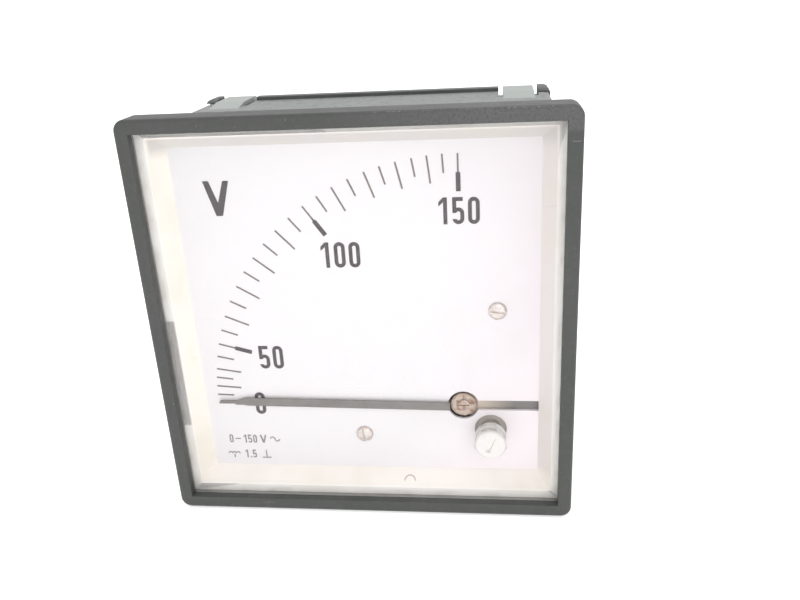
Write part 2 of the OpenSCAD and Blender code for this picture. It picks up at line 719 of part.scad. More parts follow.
former_wall = 1;
flange_t = 1.4;
winding_r = coil_flange_r - 1;
module coil_former() color([0.75, 0.73, 0.66])
    difference() {
        turned(sx, sz, [
            [coil_bore_r, y_coil], [coil_flange_r, y_coil], [coil_flange_r, y_coil + flange_t],
            [coil_bore_r + former_wall, y_coil + flange_t], [coil_bore_r + former_wall, y_base - flange_t],
            [coil_flange_r, y_base - flange_t], [coil_flange_r, y_base], [coil_bore_r, y_base]]);
        for (a = coil_pin_angles) at_spindle() rotate([0, -a, 0])
            translate([winding_r, y_base - flange_t / 2, 0]) rotate([0, 90, 0])
                cylinder(r = coil_pin_r, h = 4);
    }

module coil_winding() color(C_COPPER)
    turned(sx, sz, [
        [coil_bore_r + former_wall, y_coil + flange_t], [winding_r, y_coil + flange_t],
        [winding_r, y_base - flange_t], [coil_bore_r + former_wall, y_base - flange_t]]);

coil_pin_angles = [82, 105];
coil_pin_r = 0.4;
coil_pin_len = 3.4;
module coil_pins() color(C_BRASS)
    for (a = coil_pin_angles) at_spindle() rotate([0, -a, 0])
        translate([winding_r, y_base - flange_t / 2, 0]) rotate([0, 90, 0])
            cylinder(r = coil_pin_r, h = coil_pin_len);

// 2D ring sector, from angle a0 over the angle sweep (under 180 degrees)
module sector(r0, r1, a0, sweep) intersection() {
    difference() {
        circle(r1);
        circle(r0);
    }
    rotate(a0) polygon([
        [0, 0], [2 * r1, 0], 2 * r1 * [cos(sweep / 2), sin(sweep / 2)] * 2,
        2 * r1 * [cos(sweep), sin(sweep)]]);
}

iron_t = 0.5;
iron_inset = 4;
iron_y0 = y_coil + iron_inset;
iron_y1 = y_base - iron_inset;
iron_angle = 46;
fixed_iron_r = coil_bore_r - seat_gap / 2;
fixed_iron_sweep = 120;
slant = 30;
// Curved soft-iron leaf in the bore, cut off at a slant so that the deflection grows evenly
module fixed_iron() color(C_STEEL) difference() {
    slab(iron_y0, iron_y1) translate([sx, sz])
        sector(fixed_iron_r - iron_t, fixed_iron_r, iron_angle - 100, fixed_iron_sweep);
    at_spindle() rotate([0, 90 - iron_angle, 0])
        translate([-2 * coil_bore_r, iron_y1 - iron_inset, -2 * coil_bore_r]) rotate([-slant, 0, 0])
            cube([4 * coil_bore_r, 3 * coil_bore_r, 5 * coil_bore_r]);
}

moving_iron_r = 5.9;
module moving_iron() color(C_STEEL)
    slab(iron_y0 + 1, iron_y1 - 1) translate([sx, sz])
        sector(moving_iron_r - iron_t, moving_iron_r, iron_angle - 30, 60);

// Light bracket on the spindle, with a cheek at each end of the moving iron
module iron_carrier() color(C_CREAM)
    difference() {
        union() {
            for (y = [iron_y0 + 0.2, iron_y1 - 1]) slab(y, y + 0.8) translate([sx, sz])
                sector(1, moving_iron_r, iron_angle - 24, 48);
            rod(sx, sz, 1.5, iron_y0 + 0.1, iron_y1 - 0.1);
        }
        rod(sx, sz, spindle_r, iron_y0 - 1, iron_y1 + 1);
    }

/* ---- damping ---- */

magnet_x = 13;
magnet_r = 2.2;
vane_t = 0.25;
y_vane = y_plate - 2;
magnet_gap = 0.5;
yoke_t = 0.8;
vane_start = 170;
vane_sweep = 112;
// U-shaped steel yoke that stands on the front plate and reaches over the vane's edge
module brake_yoke() color(C_STEEL) {
    x0 = sx - magnet_x - 5.5;
    top = y_vane - magnet_gap - 1.2 - yoke_t;
    difference() {
        union() {
            translate([x0, top, sz - 2.6]) cube([8, yoke_t, 5.2]);
            translate([x0, top, sz - 2.6]) cube([yoke_t, y_plate - top, 5.2]);
            translate([x0, y_plate - yoke_t, sz - 6.8]) cube([8, yoke_t, 13.6]);
        }
        for (s = [-1, 1]) rod(sx - magnet_x, sz + s * 5.2, 0.85, y_plate - 2, y_plate + 1);
    }
}

module brake_magnets() color([0.3, 0.3, 0.32]) {
    rod(sx - magnet_x, sz, magnet_r, y_vane - magnet_gap - 1.2, y_vane - magnet_gap);
    rod(sx - magnet_x, sz, magnet_r, y_vane + vane_t + magnet_gap, y_plate - yoke_t);
}

vane_hub_r = 2.4;
module damping_vane() color(C_ALU)
    slab(y_vane, y_vane + vane_t) translate([sx, sz]) difference() {
        union() {
            sector(vane_hub_r - 0.8, vane_r, vane_start, vane_sweep);
            circle(vane_hub_r);
        }
        circle(spindle_r);
        sector(4.5, 9.6, vane_start + 12, vane_sweep / 2 - 18);
        sector(4.5, 9.6, vane_start + vane_sweep / 2 + 6, vane_sweep / 2 - 18);
    }

module vane_hub() color(C_BRASS)
    turned(sx, sz, [[spindle_r, y_vane + vane_t], [vane_hub_r - 0.5, y_vane + vane_t],
                    [vane_hub_r - 0.5, y_vane + vane_t + 0.5], [1.3, y_vane + vane_t + 1],
                    [1.3, y_vane + 2.4], [spindle_r, y_vane + 2.4]]);

/* ---- spindle, pointer and hairspring ---- */

module spindle() color(C_STEEL)
    turned(sx, sz, [
        [0, y_shoulder - pivot_len], [pivot_r, y_shoulder - pivot_len + 0.1], [pivot_r, y_shoulder],
        [spindle_r, y_shoulder], [spindle_r, y_rear_shoulder], [pivot_r, y_rear_shoulder],
        [pivot_r, y_rear_shoulder + pivot_len - 0.1], [0, y_rear_shoulder + pivot_len]]);

// Turns children, drawn with the pointer along the line to the left, to the resting angle
module with_pointer() translate([sx, 0, sz]) rotate([0, rest_angle, 0]) children();

riser_r = boss_r + 0.2;
bar_end = scale_r - 0.4 - needle_len;
bar_taper = 2.5;
// One pressed strip: a ring on the spindle, an arm, a riser through the dial and the long bar
module pointer() color([0.35, 0.36, 0.36]) with_pointer() {
    difference() {
        slab(y_root, y_root + pointer_t) {
            circle(1.6);
            translate([-riser_r - pointer_t, -riser_w / 2]) square([riser_r + pointer_t, riser_w]);
        }
        rod(0, 0, spindle_r, y_root - 1, y_root + 1);
    }
    translate([-riser_r - pointer_t, y_blade, -riser_w / 2])
        cube([pointer_t, y_root + pointer_t - y_blade, riser_w]);
    slab(y_blade, y_blade + pointer_t) polygon([
        [-riser_r, -pointer_w / 2], [-bar_end, -pointer_w / 2],
        [-bar_end - bar_taper, -needle_w / 2], [-scale_r + 0.9, -needle_w / 2], [-scale_r + 0.4, 0],
        [-scale_r + 0.9, needle_w / 2], [-bar_end - bar_taper, needle_w / 2],
        [-bar_end, pointer_w / 2], [-riser_r, pointer_w / 2]]);
}

y_cross = y_root + 1.4;
cross_t = 0.3;
cross_angle = 40;
weight_r = 1.1;
weight_at = [5.8, 10.2];
module at_weights() for (s = [-1, 1]) rotate([0, s * cross_angle, 0]) children();
module balance_cross() color(C_BRASS) with_pointer() difference() {
    union() {
        rod(0, 0, 1.7, y_cross, y_cross + cross_t);
        rod(0, 0, 1.2, y_cross, y_cross + 1.1);
        at_weights() translate([0, y_cross, -0.35]) cube([weight_at[1] + 0.3, cross_t, 0.7]);
    }
    rod(0, 0, spindle_r, y_cross - 1, y_cross + 2);
}
module balance_weights() color(C_BRASS) with_pointer() at_weights() difference() {
    translate([weight_at[0], y_cross + cross_t / 2, 0]) rotate([0, 90, 0])
        cylinder(r = weight_r, h = weight_at[1] - weight_at[0]);
    translate([0, y_cross - 0.02, -0.37]) cube([20, cross_t + 0.04, 0.74]);
}

y_spring = y_cross + 2.2;
spring_h = 0.8;
spring_t = 0.12;
collet_r = 1.55;
module spring_collet() color(C_BRASS)
    turned(sx, sz, [[spindle_r, y_spring - 0.1], [collet_r, y_spring - 0.1],
                    [collet_r, y_spring + spring_h + 0.1], [spindle_r, y_spring + spring_h + 0.1]]);

post_angle = 65;
turn_steps = 24;
function spiral_point(i, n, offset) =
    let (u = i / n, r = collet_r + spring_t / 2 + (spring_r - collet_r - spring_t / 2) * u + offset,
         a = post_angle + 360 * spring_turns * (1 - u))
    [r * cos(a), r * sin(a)];
// Flat spiral from the collet to the post of the zero lever
module hairspring() color([0.85, 0.6, 0.3]) {
    n = spring_turns * turn_steps;
    at_spindle() slab(y_spring, y_spring + spring_h) polygon(concat(
        [for (i = [0:n]) spiral_point(i, n, -spring_t / 2)],
        [for (i = [n:-1:0]) spiral_point(i, n, spring_t / 2)]));
}

/* ---- zero adjustment ---- */

post_w = 0.8;
lever_arm_w = 1;
fork_w = 3.4;
post_t = 0.8;
fork_r = adjuster_distance + crank_e;
// Friction ring on the bridge's sleeve, a fork at the crank pin and a post for the hairspring
module zero_lever() color(C_BRASS) at_spindle() {
    slab(y_lever, y_lever + lever_t) difference() {
        union() {
            circle(boss_r);
            rotate(-45) translate([0, -fork_w / 2]) square([fork_r + 1.6, fork_w]);
            rotate(post_angle) translate([0, -lever_arm_w / 2])
                square([spring_r + spring_t / 2 + post_t + 0.3, lever_arm_w]);
        }
        circle(sleeve_r + running_gap);
        rotate(-45) translate([fork_r - 1.4, -crank_pin_r - fork_gap])
            square([4, 2 * (crank_pin_r + fork_gap)]);
    }
    rotate([0, -post_angle, 0]) translate([spring_r + spring_t / 2, y_lever + 0.2, -post_w / 2])
        cube([post_t, y_spring + spring_h - 0.1 - y_lever, post_w]);
}

slot_lean = 22;
slot_len = 4;
// Plastic screw held in the window: head, neck, collar and an eccentric crank pin
module zero_adjuster() color([0.95, 0.94, 0.92]) {
    y0 = y_glass - adjuster_proud;
    y1 = y_glass_back + adjuster_tail;
    gap = 0.05;
    difference() {
        turned(ax, az, [
            [0, y0], [adjuster_r - 0.2, y0], [adjuster_r, y0 + 0.2], [adjuster_r, y_glass - gap],
            [adjuster_neck_r, y_glass - gap], [adjuster_neck_r, y_glass_back + gap],
            [adjuster_r, y_glass_back + gap], [adjuster_r, y1], [0, y1]]);
        at_adjuster() rotate([0, slot_lean - 90, 0])
            translate([-slot_len / 2, y0 - 1, -slot_w / 2]) cube([slot_len, 1.8, slot_w]);
    }
    rod(ax + crank_e * cos(45), az - crank_e * sin(45), crank_pin_r, y1 - 0.01, y_lever + lever_t + 0.1);
}

/* ---- electrical parts ---- */

lug_t = 0.8;
head_t = 2.5;
nut_t = 3.2;
washer_t = 0.8;
nut_r = 4.04;
washer_rim = 2.5;
// Under the nuts the stud is drawn at the pitch radius of its thread, beyond them at the full one
pitch_r = stud_r - 0.2;
y_pad = y_cover_back + terminal_pad;
y_free = y_pad + 2 * washer_t + 2 * nut_t;
tip_chamfer = 0.4;
module terminal_stud(p) color(C_BRASS) {
    turned(p[0], p[1], [
        [0, y_cover - lug_t - 0.1], [stud_r + shank_step, y_cover - lug_t - 0.1],
        [stud_r + shank_step, y_pad], [pitch_r, y_pad], [pitch_r, y_free], [stud_r, y_free],
        [stud_r, y_cover_back + stud_len], [stud_r - tip_chamfer, y_cover_back + stud_len + tip_chamfer],
        [0, y_cover_back + stud_len + tip_chamfer]]);
    translate([p[0], y_cover - lug_t - head_t, p[1]]) rotate([-90, 0, 0])
        cylinder(r = nut_r, h = head_t, $fn = 6);
}
module terminal_stud_left() terminal_stud(terminals()[0]);
module terminal_stud_right() terminal_stud(terminals()[1]);

module solder_lug(p) color(C_STEEL) difference() {
    slab(y_cover - lug_t, y_cover) translate(p) {
        circle(stud_r + 2.4);
        translate([-1.5, 0]) square([3, 8.5]);
    }
    rod(p[0], p[1], stud_r + shank_step + seat_gap, y_cover - 2, y_cover + 1);
    rod(p[0], p[1] + 7, 0.8, y_cover - 2, y_cover + 1);
}
module solder_lug_left() solder_lug(terminals()[0]);
module solder_lug_right() solder_lug(terminals()[1]);

module terminal_washers() color(C_BRASS)
    for (p = terminals(), y = [y_pad, y_pad + washer_t + nut_t]) difference() {
        rod(p[0], p[1], stud_r + washer_rim, y, y + washer_t);
        rod(p[0], p[1], stud_r + seat_gap, y - 1, y + washer_t + 1);
    }
module terminal_nuts() color(C_BRASS)
    for (p = terminals(), y = [y_pad + washer_t, y_pad + 2 * washer_t + nut_t]) difference() {
        translate([p[0], y, p[1]]) rotate([-90, 0, 0]) cylinder(r = nut_r, h = nut_t, $fn = 6);
        rod(p[0], p[1], pitch_r + 0.02, y - 1, y + nut_t + 1);
    }

y_board = y_cover - board_post - board_t;
module resistor_board() color([0.45, 0.36, 0.2]) difference() {
    translate([board_x - board_w / 2, y_board, board_z - board_h / 2]) cube([board_w, board_t, board_h]);
    for (p = board_posts()) rod(p[0], p[1], 1, y_board - 1, y_cover);
    for (s = [-1, 1]) rod(board_x + s * 10.5, board_z + 2.5, 0.5, y_board - 1, y_cover);
}
module board_screws() color(C_STEEL)
    for (p = board_posts())
        slotted_screw(p[0], p[1], 1.7, 1, 0.75, board_t + board_post - 0.3, y_board - 1, 40 + p[0], 0.4);

resistor_r = 2.6;
resistor_len = 16;
// Wirewound resistor with end caps, held off the board by its bent wires
module series_resistor() color([0.3, 0.42, 0.35]) {
    y = y_board - resistor_r - 0.6;
    z = board_z + 2.5;
    translate([board_x, y, z]) rotate([0, 90, 0]) {
        cylinder(r = resistor_r - 0.3, h = resistor_len, center = true);
        for (s = [-1, 1]) translate([0, 0, s * (resistor_len / 2 - 1)])
            cylinder(r = resistor_r, h = 2, center = true);
        cylinder(r = 0.4, h = 21, center = true);
    }
    for (s = [-1, 1]) {
        rod(board_x + s * 10.5, z, 0.4, y, y_board + board_t + 0.6);
        translate([board_x + s * 10.5, y, z]) sphere(0.4);
    }
}

wire_r = 0.55;
// Insulated wire along a list of points, with round bends
module wire(points, c) color(c) {
    for (i = [0:len(points) - 2]) {
        v = points[i + 1] - points[i];
        translate(points[i]) rotate([0, acos(v[2] / norm(v)), atan2(v[1], v[0])])
            cylinder(r = wire_r, h = norm(v), $fn = 16);
    }
    for (i = [1:len(points) - 2]) translate(points[i]) sphere(wire_r + 0.03, $fn = 16);
}
function coil_pin_tip(a) = let (r = winding_r + coil_pin_len + 0.05)
    [sx + r * cos(a), y_base - flange_t / 2, sz + r * sin(a)];
module coil_lead() {
    p = coil_pin_tip(coil_pin_angles[0]);
    q = terminals()[1];
    wire([p, p + [0, 0, 1.5], [q[0] + 4, y_cover - 6, q[1] + 4], [q[0], y_cover - 3.4, q[1] + 7],
          [q[0], y_cover - lug_t - 0.05, q[1] + 7]], [0.7, 0.1, 0.1]);
}
module link_lead() {
    p = coil_pin_tip(coil_pin_angles[1]);
    wire([p, p + [-0.5, 0, 2.2], [2, y_base - 4, 4], [0, y_board - 6, 22],
          [board_x + 11.8, y_board - 3, board_z + 5], [board_x + 11.8, y_board - 0.05, board_z + 5]],
         [0.1, 0.1, 0.12]);
}
module resistor_lead() {
    q = terminals()[0];
    wire([[board_x - 11.8, y_board - 0.05, board_z + 5], [board_x - 11.8, y_board - 3, board_z + 5],
          [board_x - 15.5, y_board - 3, board_z - 2], [q[0] - 6, y_cover - 5, q[1] + 7.5],
          [q[0], y_cover - 4, q[1] + 7], [q[0], y_cover - lug_t - 0.05, q[1] + 7]], [0.1, 0.1, 0.5]);
}

bezel();
window();
mask();
dial_plate();
dial_print();
dial_screw_upper();
dial_screw_lower();
case();
rear_cover();
front_bridge();
bridge_screws();
front_bearing_screw();
front_jewel();
front_plate();
dial_pillar_upper();
dial_pillar_lower();
frame_pillars();
base_plate();
rear_bearing_screw();
rear_jewel();
movement_screws();
coil_former();
coil_winding();
coil_pins();
fixed_iron();
brake_yoke();
brake_magnets();
resistor_board();
board_screws();
series_resistor();
coil_lead();
link_lead();
resistor_lead();
terminal_stud_left();
terminal_stud_right();
solder_lug_left();
solder_lug_right();
terminal_washers();
terminal_nuts();
zero_adjuster();
zero_lever();
spindle();
pointer();
balance_cross();
balance_weights();
moving_iron();
iron_carrier();
damping_vane();
vane_hub();
spring_collet();
hairspring();
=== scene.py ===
import json
import math

import bmesh
import bpy
from mathutils import Matrix, Vector

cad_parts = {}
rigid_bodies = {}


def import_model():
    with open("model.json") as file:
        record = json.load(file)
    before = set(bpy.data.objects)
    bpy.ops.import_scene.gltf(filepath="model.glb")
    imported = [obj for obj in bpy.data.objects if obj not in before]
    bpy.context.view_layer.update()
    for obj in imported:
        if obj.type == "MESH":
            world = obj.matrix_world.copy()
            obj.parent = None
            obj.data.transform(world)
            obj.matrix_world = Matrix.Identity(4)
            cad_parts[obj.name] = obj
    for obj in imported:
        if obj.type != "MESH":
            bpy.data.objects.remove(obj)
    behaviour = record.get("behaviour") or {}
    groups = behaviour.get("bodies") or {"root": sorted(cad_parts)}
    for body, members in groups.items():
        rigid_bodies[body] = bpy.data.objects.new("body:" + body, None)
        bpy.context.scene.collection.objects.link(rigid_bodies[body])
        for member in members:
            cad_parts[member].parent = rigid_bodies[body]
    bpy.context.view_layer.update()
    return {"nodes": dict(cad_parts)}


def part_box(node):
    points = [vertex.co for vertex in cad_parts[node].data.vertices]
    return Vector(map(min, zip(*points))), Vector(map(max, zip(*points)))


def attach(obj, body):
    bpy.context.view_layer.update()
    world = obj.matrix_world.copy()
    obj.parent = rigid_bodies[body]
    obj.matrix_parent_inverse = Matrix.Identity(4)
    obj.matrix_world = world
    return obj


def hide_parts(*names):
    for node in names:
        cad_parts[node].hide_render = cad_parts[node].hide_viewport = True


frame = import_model()
mm = 0.001

# ---- Studio ----
# The meter stands on the lower edge of its frame and leans back on the rim of its rear
# cover, on a white table in a bright, almost shadowless light.


class Link:
    """One output of a node tree. Sums and products of links add Math nodes to the tree."""

    def __init__(self, nodes, socket):
        self.nodes, self.socket = nodes, socket

    def of(self, output):
        """Another output of the same node."""
        return Link(self.nodes, self.socket.node.outputs[output])

    def maths(self, operation, a, b=0.0, clamp=False):
        settings = {"operation": operation, "use_clamp": clamp}
        return self.nodes.add("ShaderNodeMath", settings, {0: a, 1: b})

    def __add__(self, other):
        return self.maths("ADD", self, other)

    def __sub__(self, other):
        return self.maths("SUBTRACT", self, other)

    def __rsub__(self, other):
        return self.maths("SUBTRACT", other, self)

    def __mul__(self, other):
        return self.maths("MULTIPLY", self, other)

    def __truediv__(self, other):
        return self.maths("DIVIDE", self, other)

    def __pow__(self, other):
        return self.maths("POWER", self, other)

    def __abs__(self):
        return self.maths("ABSOLUTE", self)

    __radd__ = __add__
    __rmul__ = __mul__

    def clipped(self):
        """The same value, kept between 0 and 1."""
        return self.maths("ADD", self, 0.0, clamp=True)

    def higher(self, other):
        return self.maths("MAXIMUM", self, other)


class Nodes:
    """A node tree that is built one node at a time."""

    def __init__(self, tree):
        self.tree = tree

    def add(self, kind, settings=None, inputs=None, output=0):
        """Adds a node, sets it up, feeds its inputs with values or links, and gives an output."""
        node = self.tree.nodes.new(kind)
        for key, value in (settings or {}).items():
            setattr(node, key, value)
        self.feed(node, inputs or {})
        return Link(self, node.outputs[output])

    def feed(self, node, inputs):
        for key, value in inputs.items():
            if isinstance(value, Link):
                self.tree.links.new(value.socket, node.inputs[key])
            else:
                node.inputs[key].default_value = value


class Finish(Nodes):
    """A material with one Principled shader and patterns that are sized in metres."""

    def __init__(self, name, colour, roughness, **plain):
        self.material = bpy.data.materials.new(name)
        self.material.use_nodes = True
        super().__init__(self.material.node_tree)
        self.shader = self.tree.nodes["Principled BSDF"]
        self.colour, self.roughness = (*colour, 1), roughness
        self.feed(self.shader, {"Base Color": self.colour, "Roughness": roughness})
        self.feed(self.shader, plain)
        self.place = self.add("ShaderNodeTexCoord").of("Object")

    def axis(self, name):
        """One coordinate of the place on the surface, in metres."""
        return self.add("ShaderNodeSeparateXYZ", {}, {0: self.place}).of(name)

    def noise(self, size, detail=3.0, stretch=(1, 1, 1), shift=0.0):
        """Cloudy pattern from 0 to 1 with features of the given size in metres."""
        turned = self.add("ShaderNodeMapping", {}, {
            "Vector": self.place, "Scale": stretch, "Location": (shift, shift, shift)})
        settings = {"noise_dimensions": "3D"}
        inputs = {"Vector": turned, "Scale": 1 / size, "Detail": detail, "Roughness": 0.55}
        return self.add("ShaderNodeTexNoise", settings, inputs)

    def over(self, link, low, high):
        """0 where the link is below low, 1 where it is above high, and even between."""
        return ((link - low) * (1 / (high - low))).clipped()

    def spot(self, centre, half, soft):
        """1 inside a box of the surface and 0 outside, with soft borders."""
        inside = None
        for name, middle, reach in zip("XYZ", centre, half):
            if reach is None:
                continue
            part = ((reach - abs(self.axis(name) - middle)) * (1 / soft)).clipped()
            inside = part if inside is None else inside * part
        return inside

    def away_from(self, x, z):
        """Distance from an axis along Y, in metres."""
        return ((self.axis("X") - x) ** 2.0 + (self.axis("Z") - z) ** 2.0) ** 0.5

    def tint(self, colour, share):
        """Lays another colour over the base colour, by a share that varies over the surface."""
        settings = {"data_type": "RGBA", "blend_type": "MIX"}
        mixed = self.add("ShaderNodeMix", settings, {0: share, 6: self.colour, 7: (*colour, 1)}, 2)
        self.colour = mixed
        self.feed(self.shader, {"Base Color": mixed})

    def dull(self, change):
        """Adds a varying amount to the roughness."""
        self.roughness = (change + self.roughness).clipped()
        self.feed(self.shader, {"Roughness": self.roughness})

    def relief(self, height, depth):
        """Raises the surface by a height pattern from 0 to 1, with a depth in metres."""
        bump = self.add("ShaderNodeBump", {}, {
            "Height": height, "Distance": depth, "Strength": 1.0})
        self.feed(self.shader, {"Normal": bump})


def coat(finish, *names):
    """Gives CAD pieces a finish."""
    for name in names:
        mesh = frame["nodes"][name].data
        mesh.materials.clear()
        mesh.materials.append(finish.material)


table_half = 3.0
bezel_low, bezel_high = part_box("bezel")
cover_low, cover_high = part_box("rear_cover")
lean = math.atan2(cover_low[2] - bezel_low[2], cover_high[1] - bezel_high[1])
table_mesh = bpy.data.meshes.new("table")
table_corners = [
    (x, y, bezel_low[2] + (y - bezel_high[1]) * math.tan(lean))
    for x, y in ((-table_half, -table_half), (table_half, -table_half),
                 (table_half, table_half), (-table_half, table_half))]
table_mesh.from_pydata(table_corners, [], [(0, 1, 2, 3)])
table = bpy.data.objects.new("table", table_mesh)
bpy.context.collection.objects.link(table)
paper = Finish("table_paper", (0.95, 0.95, 0.95), 0.9, **{
    "Emission Color": (1, 1, 1, 1), "Emission Strength": 0.42})
paper.tint((0.92, 0.92, 0.93), paper.noise(0.15))
table_mesh.materials.append(paper.material)

world = bpy.data.worlds.new("studio")
bpy.context.scene.world = world
world.use_nodes = True
world.node_tree.nodes["Background"].inputs["Color"].default_value = (1.0, 1.0, 1.0, 1)
world.node_tree.nodes["Background"].inputs["Strength"].default_value = 1.03
bpy.context.scene.view_settings.view_transform = "Standard"


def softbox(name, place, size, power):
    """Large square white lamp that faces the meter."""
    lamp = bpy.data.lights.new(name, "AREA")
    lamp.energy, lamp.size = power, size
    holder = bpy.data.objects.new(name, lamp)
    holder.location = place
    holder.rotation_euler = (-Vector(place)).to_track_quat("-Z", "Y").to_euler()
    bpy.context.collection.objects.link(holder)


softbox("front_light", (0.25, -0.95, 0.4), 0.8, 2.6)
softbox("top_light", (0.1, 0.15, 0.95), 0.7, 1.6)

lens = bpy.data.cameras.new("camera")
lens.lens, lens.sensor_width = 35.19, 36.0
camera = bpy.data.objects.new("camera", lens)
to_right = Vector((0.99248, 0.11110, -0.05139)).normalized()
ahead = Vector((-0.12228, 0.91948, -0.37365)).normalized()
top_wall_painted_shade = to_right.cross(ahead)
camera.matrix_world = Matrix.Translation((0.03077, -0.16226, 0.07088)) @ Matrix(
    (to_right, top_wall_painted_shade, -ahead)).transposed().to_4x4()
bpy.context.collection.objects.link(camera)
bpy.context.scene.camera = camera

# ---- Bezel ----
# Square front frame, injection moulded in dark grey-green plastic with a smooth face. Its edges
# are rounded, and handling has left pale scuffs on the upper edge and a few on the rails.


def finished(name, mesh, finish, slot, body, *stands_for, smooth=math.radians(35)):
    """Puts a mesh into the scene as a piece that rides on a body and stands for CAD pieces."""
    mesh.shade_smooth()
    mesh.set_sharp_from_angle(angle=smooth)
    if finish is not None:
        mesh.materials.clear()
        mesh.materials.append(finish.material)
    piece = bpy.data.objects.new(name, mesh)
    bpy.context.collection.objects.link(piece)
    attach(piece, body)
    if stands_for:
        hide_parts(*stands_for)
    return piece


def plain_mesh(name, shape):
    """A mesh from a bmesh whose doubles are merged and whose faces point outwards."""
    bmesh.ops.remove_doubles(shape, verts=shape.verts, dist=1e-7)
    bmesh.ops.recalc_face_normals(shape, faces=shape.faces)
    mesh = bpy.data.meshes.new(name)
    shape.to_mesh(mesh)
    shape.free()
    return mesh


def loft(shape, rings):
    """Faces from each closed ring of vertices to the next, and from the last one to the first."""
    for ring, following in zip(rings, rings[1:] + rings[:1]):
        for i in range(len(ring)):
            j = (i + 1) % len(ring)
            shape.faces.new((ring[i], ring[j], following[j], following[i]))


def arc(centre, radius, start, stop, steps):
    """Points on an arc from one angle to another, in degrees."""
    for i in range(steps + 1):
        angle = math.radians(start + (stop - start) * i / steps)
        yield centre[0] + radius * math.cos(angle), centre[1] + radius * math.sin(angle)


glass_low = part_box("window")[0]
frame_half = bezel_high[0]
frame_front, frame_back = bezel_low[1], bezel_high[1]
corner_r = 2.5 * mm
edge_r = 0.8 * mm
lip_r = 0.2 * mm
rail = 3.15 * mm
lip = 0.75 * mm
# The section of a rail: distance inwards from the outer face, and depth
rail_section = [(0, frame_back), *arc((edge_r, frame_front + edge_r), edge_r, 180, 270, 8),
                *arc((rail - lip_r, frame_front + lip_r), lip_r, 270, 360, 3),
                (rail, glass_low[1]), (rail - lip, glass_low[1]), (rail - lip, frame_back)]
corner_steps = 10
shape = bmesh.new()
rings = []
for quarter in range(4):
    for step in range(corner_steps + 1):
        angle = math.radians(90 * quarter + 90 * step / corner_steps)
        side_x = 1 if quarter in (0, 3) else -1
        side_z = 1 if quarter in (0, 1) else -1
        ring = []
        for inset, depth in rail_section:
            reach = max(corner_r - inset, 0)
            middle = frame_half - max(corner_r, inset)
            ring.append(shape.verts.new((
                side_x * middle + reach * math.cos(angle), depth,
                side_z * middle + reach * math.sin(angle))))
        rings.append(ring)
loft(shape, rings)
bmesh.ops.dissolve_degenerate(shape, dist=1e-7, edges=shape.edges)
bezel_mesh = plain_mesh("bezel_body", shape)

moulded = Finish("frame_plastic", (0.043, 0.047, 0.043), 0.42)
moulded.tint((0.052, 0.053, 0.051), moulded.over(moulded.noise(18 * mm), 0.35, 0.7))
moulded.tint((0.075, 0.077, 0.072), moulded.over(moulded.noise(1.4 * mm, 5), 0.5, 0.8) * 0.5)
fine_grain = moulded.noise(0.3 * mm, 4)
moulded.dull(moulded.noise(4 * mm) * 0.14)
# A row of fine chips along the front edge of the upper rail, denser to the right
edge_band = moulded.spot((0.027, frame_front + 0.25 * mm, frame_half - 0.25 * mm),
                         (0.021, 0.2 * mm, 0.14 * mm), 0.14 * mm)
chips = moulded.over(moulded.noise(0.26 * mm, 5, stretch=(0.5, 1, 1), shift=3), 0.53, 0.66)
towards_right = moulded.over(moulded.axis("X") + moulded.noise(9 * mm) * 0.03, 0.012, 0.05)
edge_wear = (chips * edge_band * (towards_right * 0.6 + 0.4)).clipped()
moulded.tint((0.5, 0.49, 0.48), edge_wear)
# The upper rail is lighter and grainier towards the right: a painted sheen, broken up by the grain
right_rail_sheen_and_grain = moulded.over(moulded.axis("Z"), 0.0425, 0.0435)
right_rail_sheen_and_grain = right_rail_sheen_and_grain * moulded.over(moulded.axis("X"), -0.005, 0.03)
right_rail_sheen_and_grain = right_rail_sheen_and_grain * moulded.over(moulded.noise(0.5 * mm, 4, shift=6), 0.3, 0.6)
moulded.tint((0.082, 0.082, 0.083), right_rail_sheen_and_grain)
# Scattered pinprick chips on the faces, one longer nick on the right rail, a rub on the lower one
pinpricks = moulded.over(moulded.noise(0.55 * mm, 2, shift=7), 0.735, 0.76) * 0.45
moulded.tint((0.32, 0.31, 0.30), pinpricks)
nick = moulded.spot((0.0466, None, 0.0409), (0.9 * mm, None, 0.07 * mm), 0.08 * mm)
moulded.tint((0.34, 0.33, 0.32), nick * 0.8)
rub = moulded.spot((-0.0255, frame_front, -0.0459), (1.6 * mm, 1 * mm, 0.5 * mm), 0.6 * mm)
rubbed_spots = moulded.over(moulded.noise(0.5 * mm, 4, shift=9), 0.45, 0.6)
moulded.tint((0.22, 0.17, 0.14), rub * rubbed_spots * 0.7)
moulded.relief((fine_grain * 0.6 + (1.0 - edge_wear) * 0.4), 0.02 * mm)
finished("bezel_body", bezel_mesh, moulded, "frame_plastic", "housing", "bezel")

# ---- Window ----
# Flat pane of clear acrylic, pressed against the frame's lip by the mask behind it. It has fine
# dust and faint hairline scratches from wiping.

clear = Finish("clear_window", (0.95, 0.96, 0.96), 0.5)
mirror = clear.add("ShaderNodeBsdfGlossy", {}, {"Color": (1, 1, 1, 1), "Roughness": 0.04})
through = clear.add("ShaderNodeBsdfTransparent", {}, {"Color": (1, 1, 1, 1)})
grazing = clear.add("ShaderNodeFresnel", {}, {"IOR": 1.3})
pane = clear.add("ShaderNodeMixShader", {}, {0: grazing * 0.35, 1: through, 2: mirror})
hairlines = clear.over(clear.noise(1.1 * mm, 3, stretch=(0.06, 1, 1.6), shift=5), 0.68, 0.72) * 0.05
dust = clear.over(clear.noise(0.9 * mm, 6), 0.68, 0.8) * 0.07
dusty = clear.add("ShaderNodeMixShader", {}, {
    0: (dust + hairlines).clipped(), 1: pane, 2: Link(clear, clear.shader.outputs[0])})
clear.tree.links.new(dusty.socket, clear.tree.nodes["Material Output"].inputs["Surface"])
coat(clear, "window")
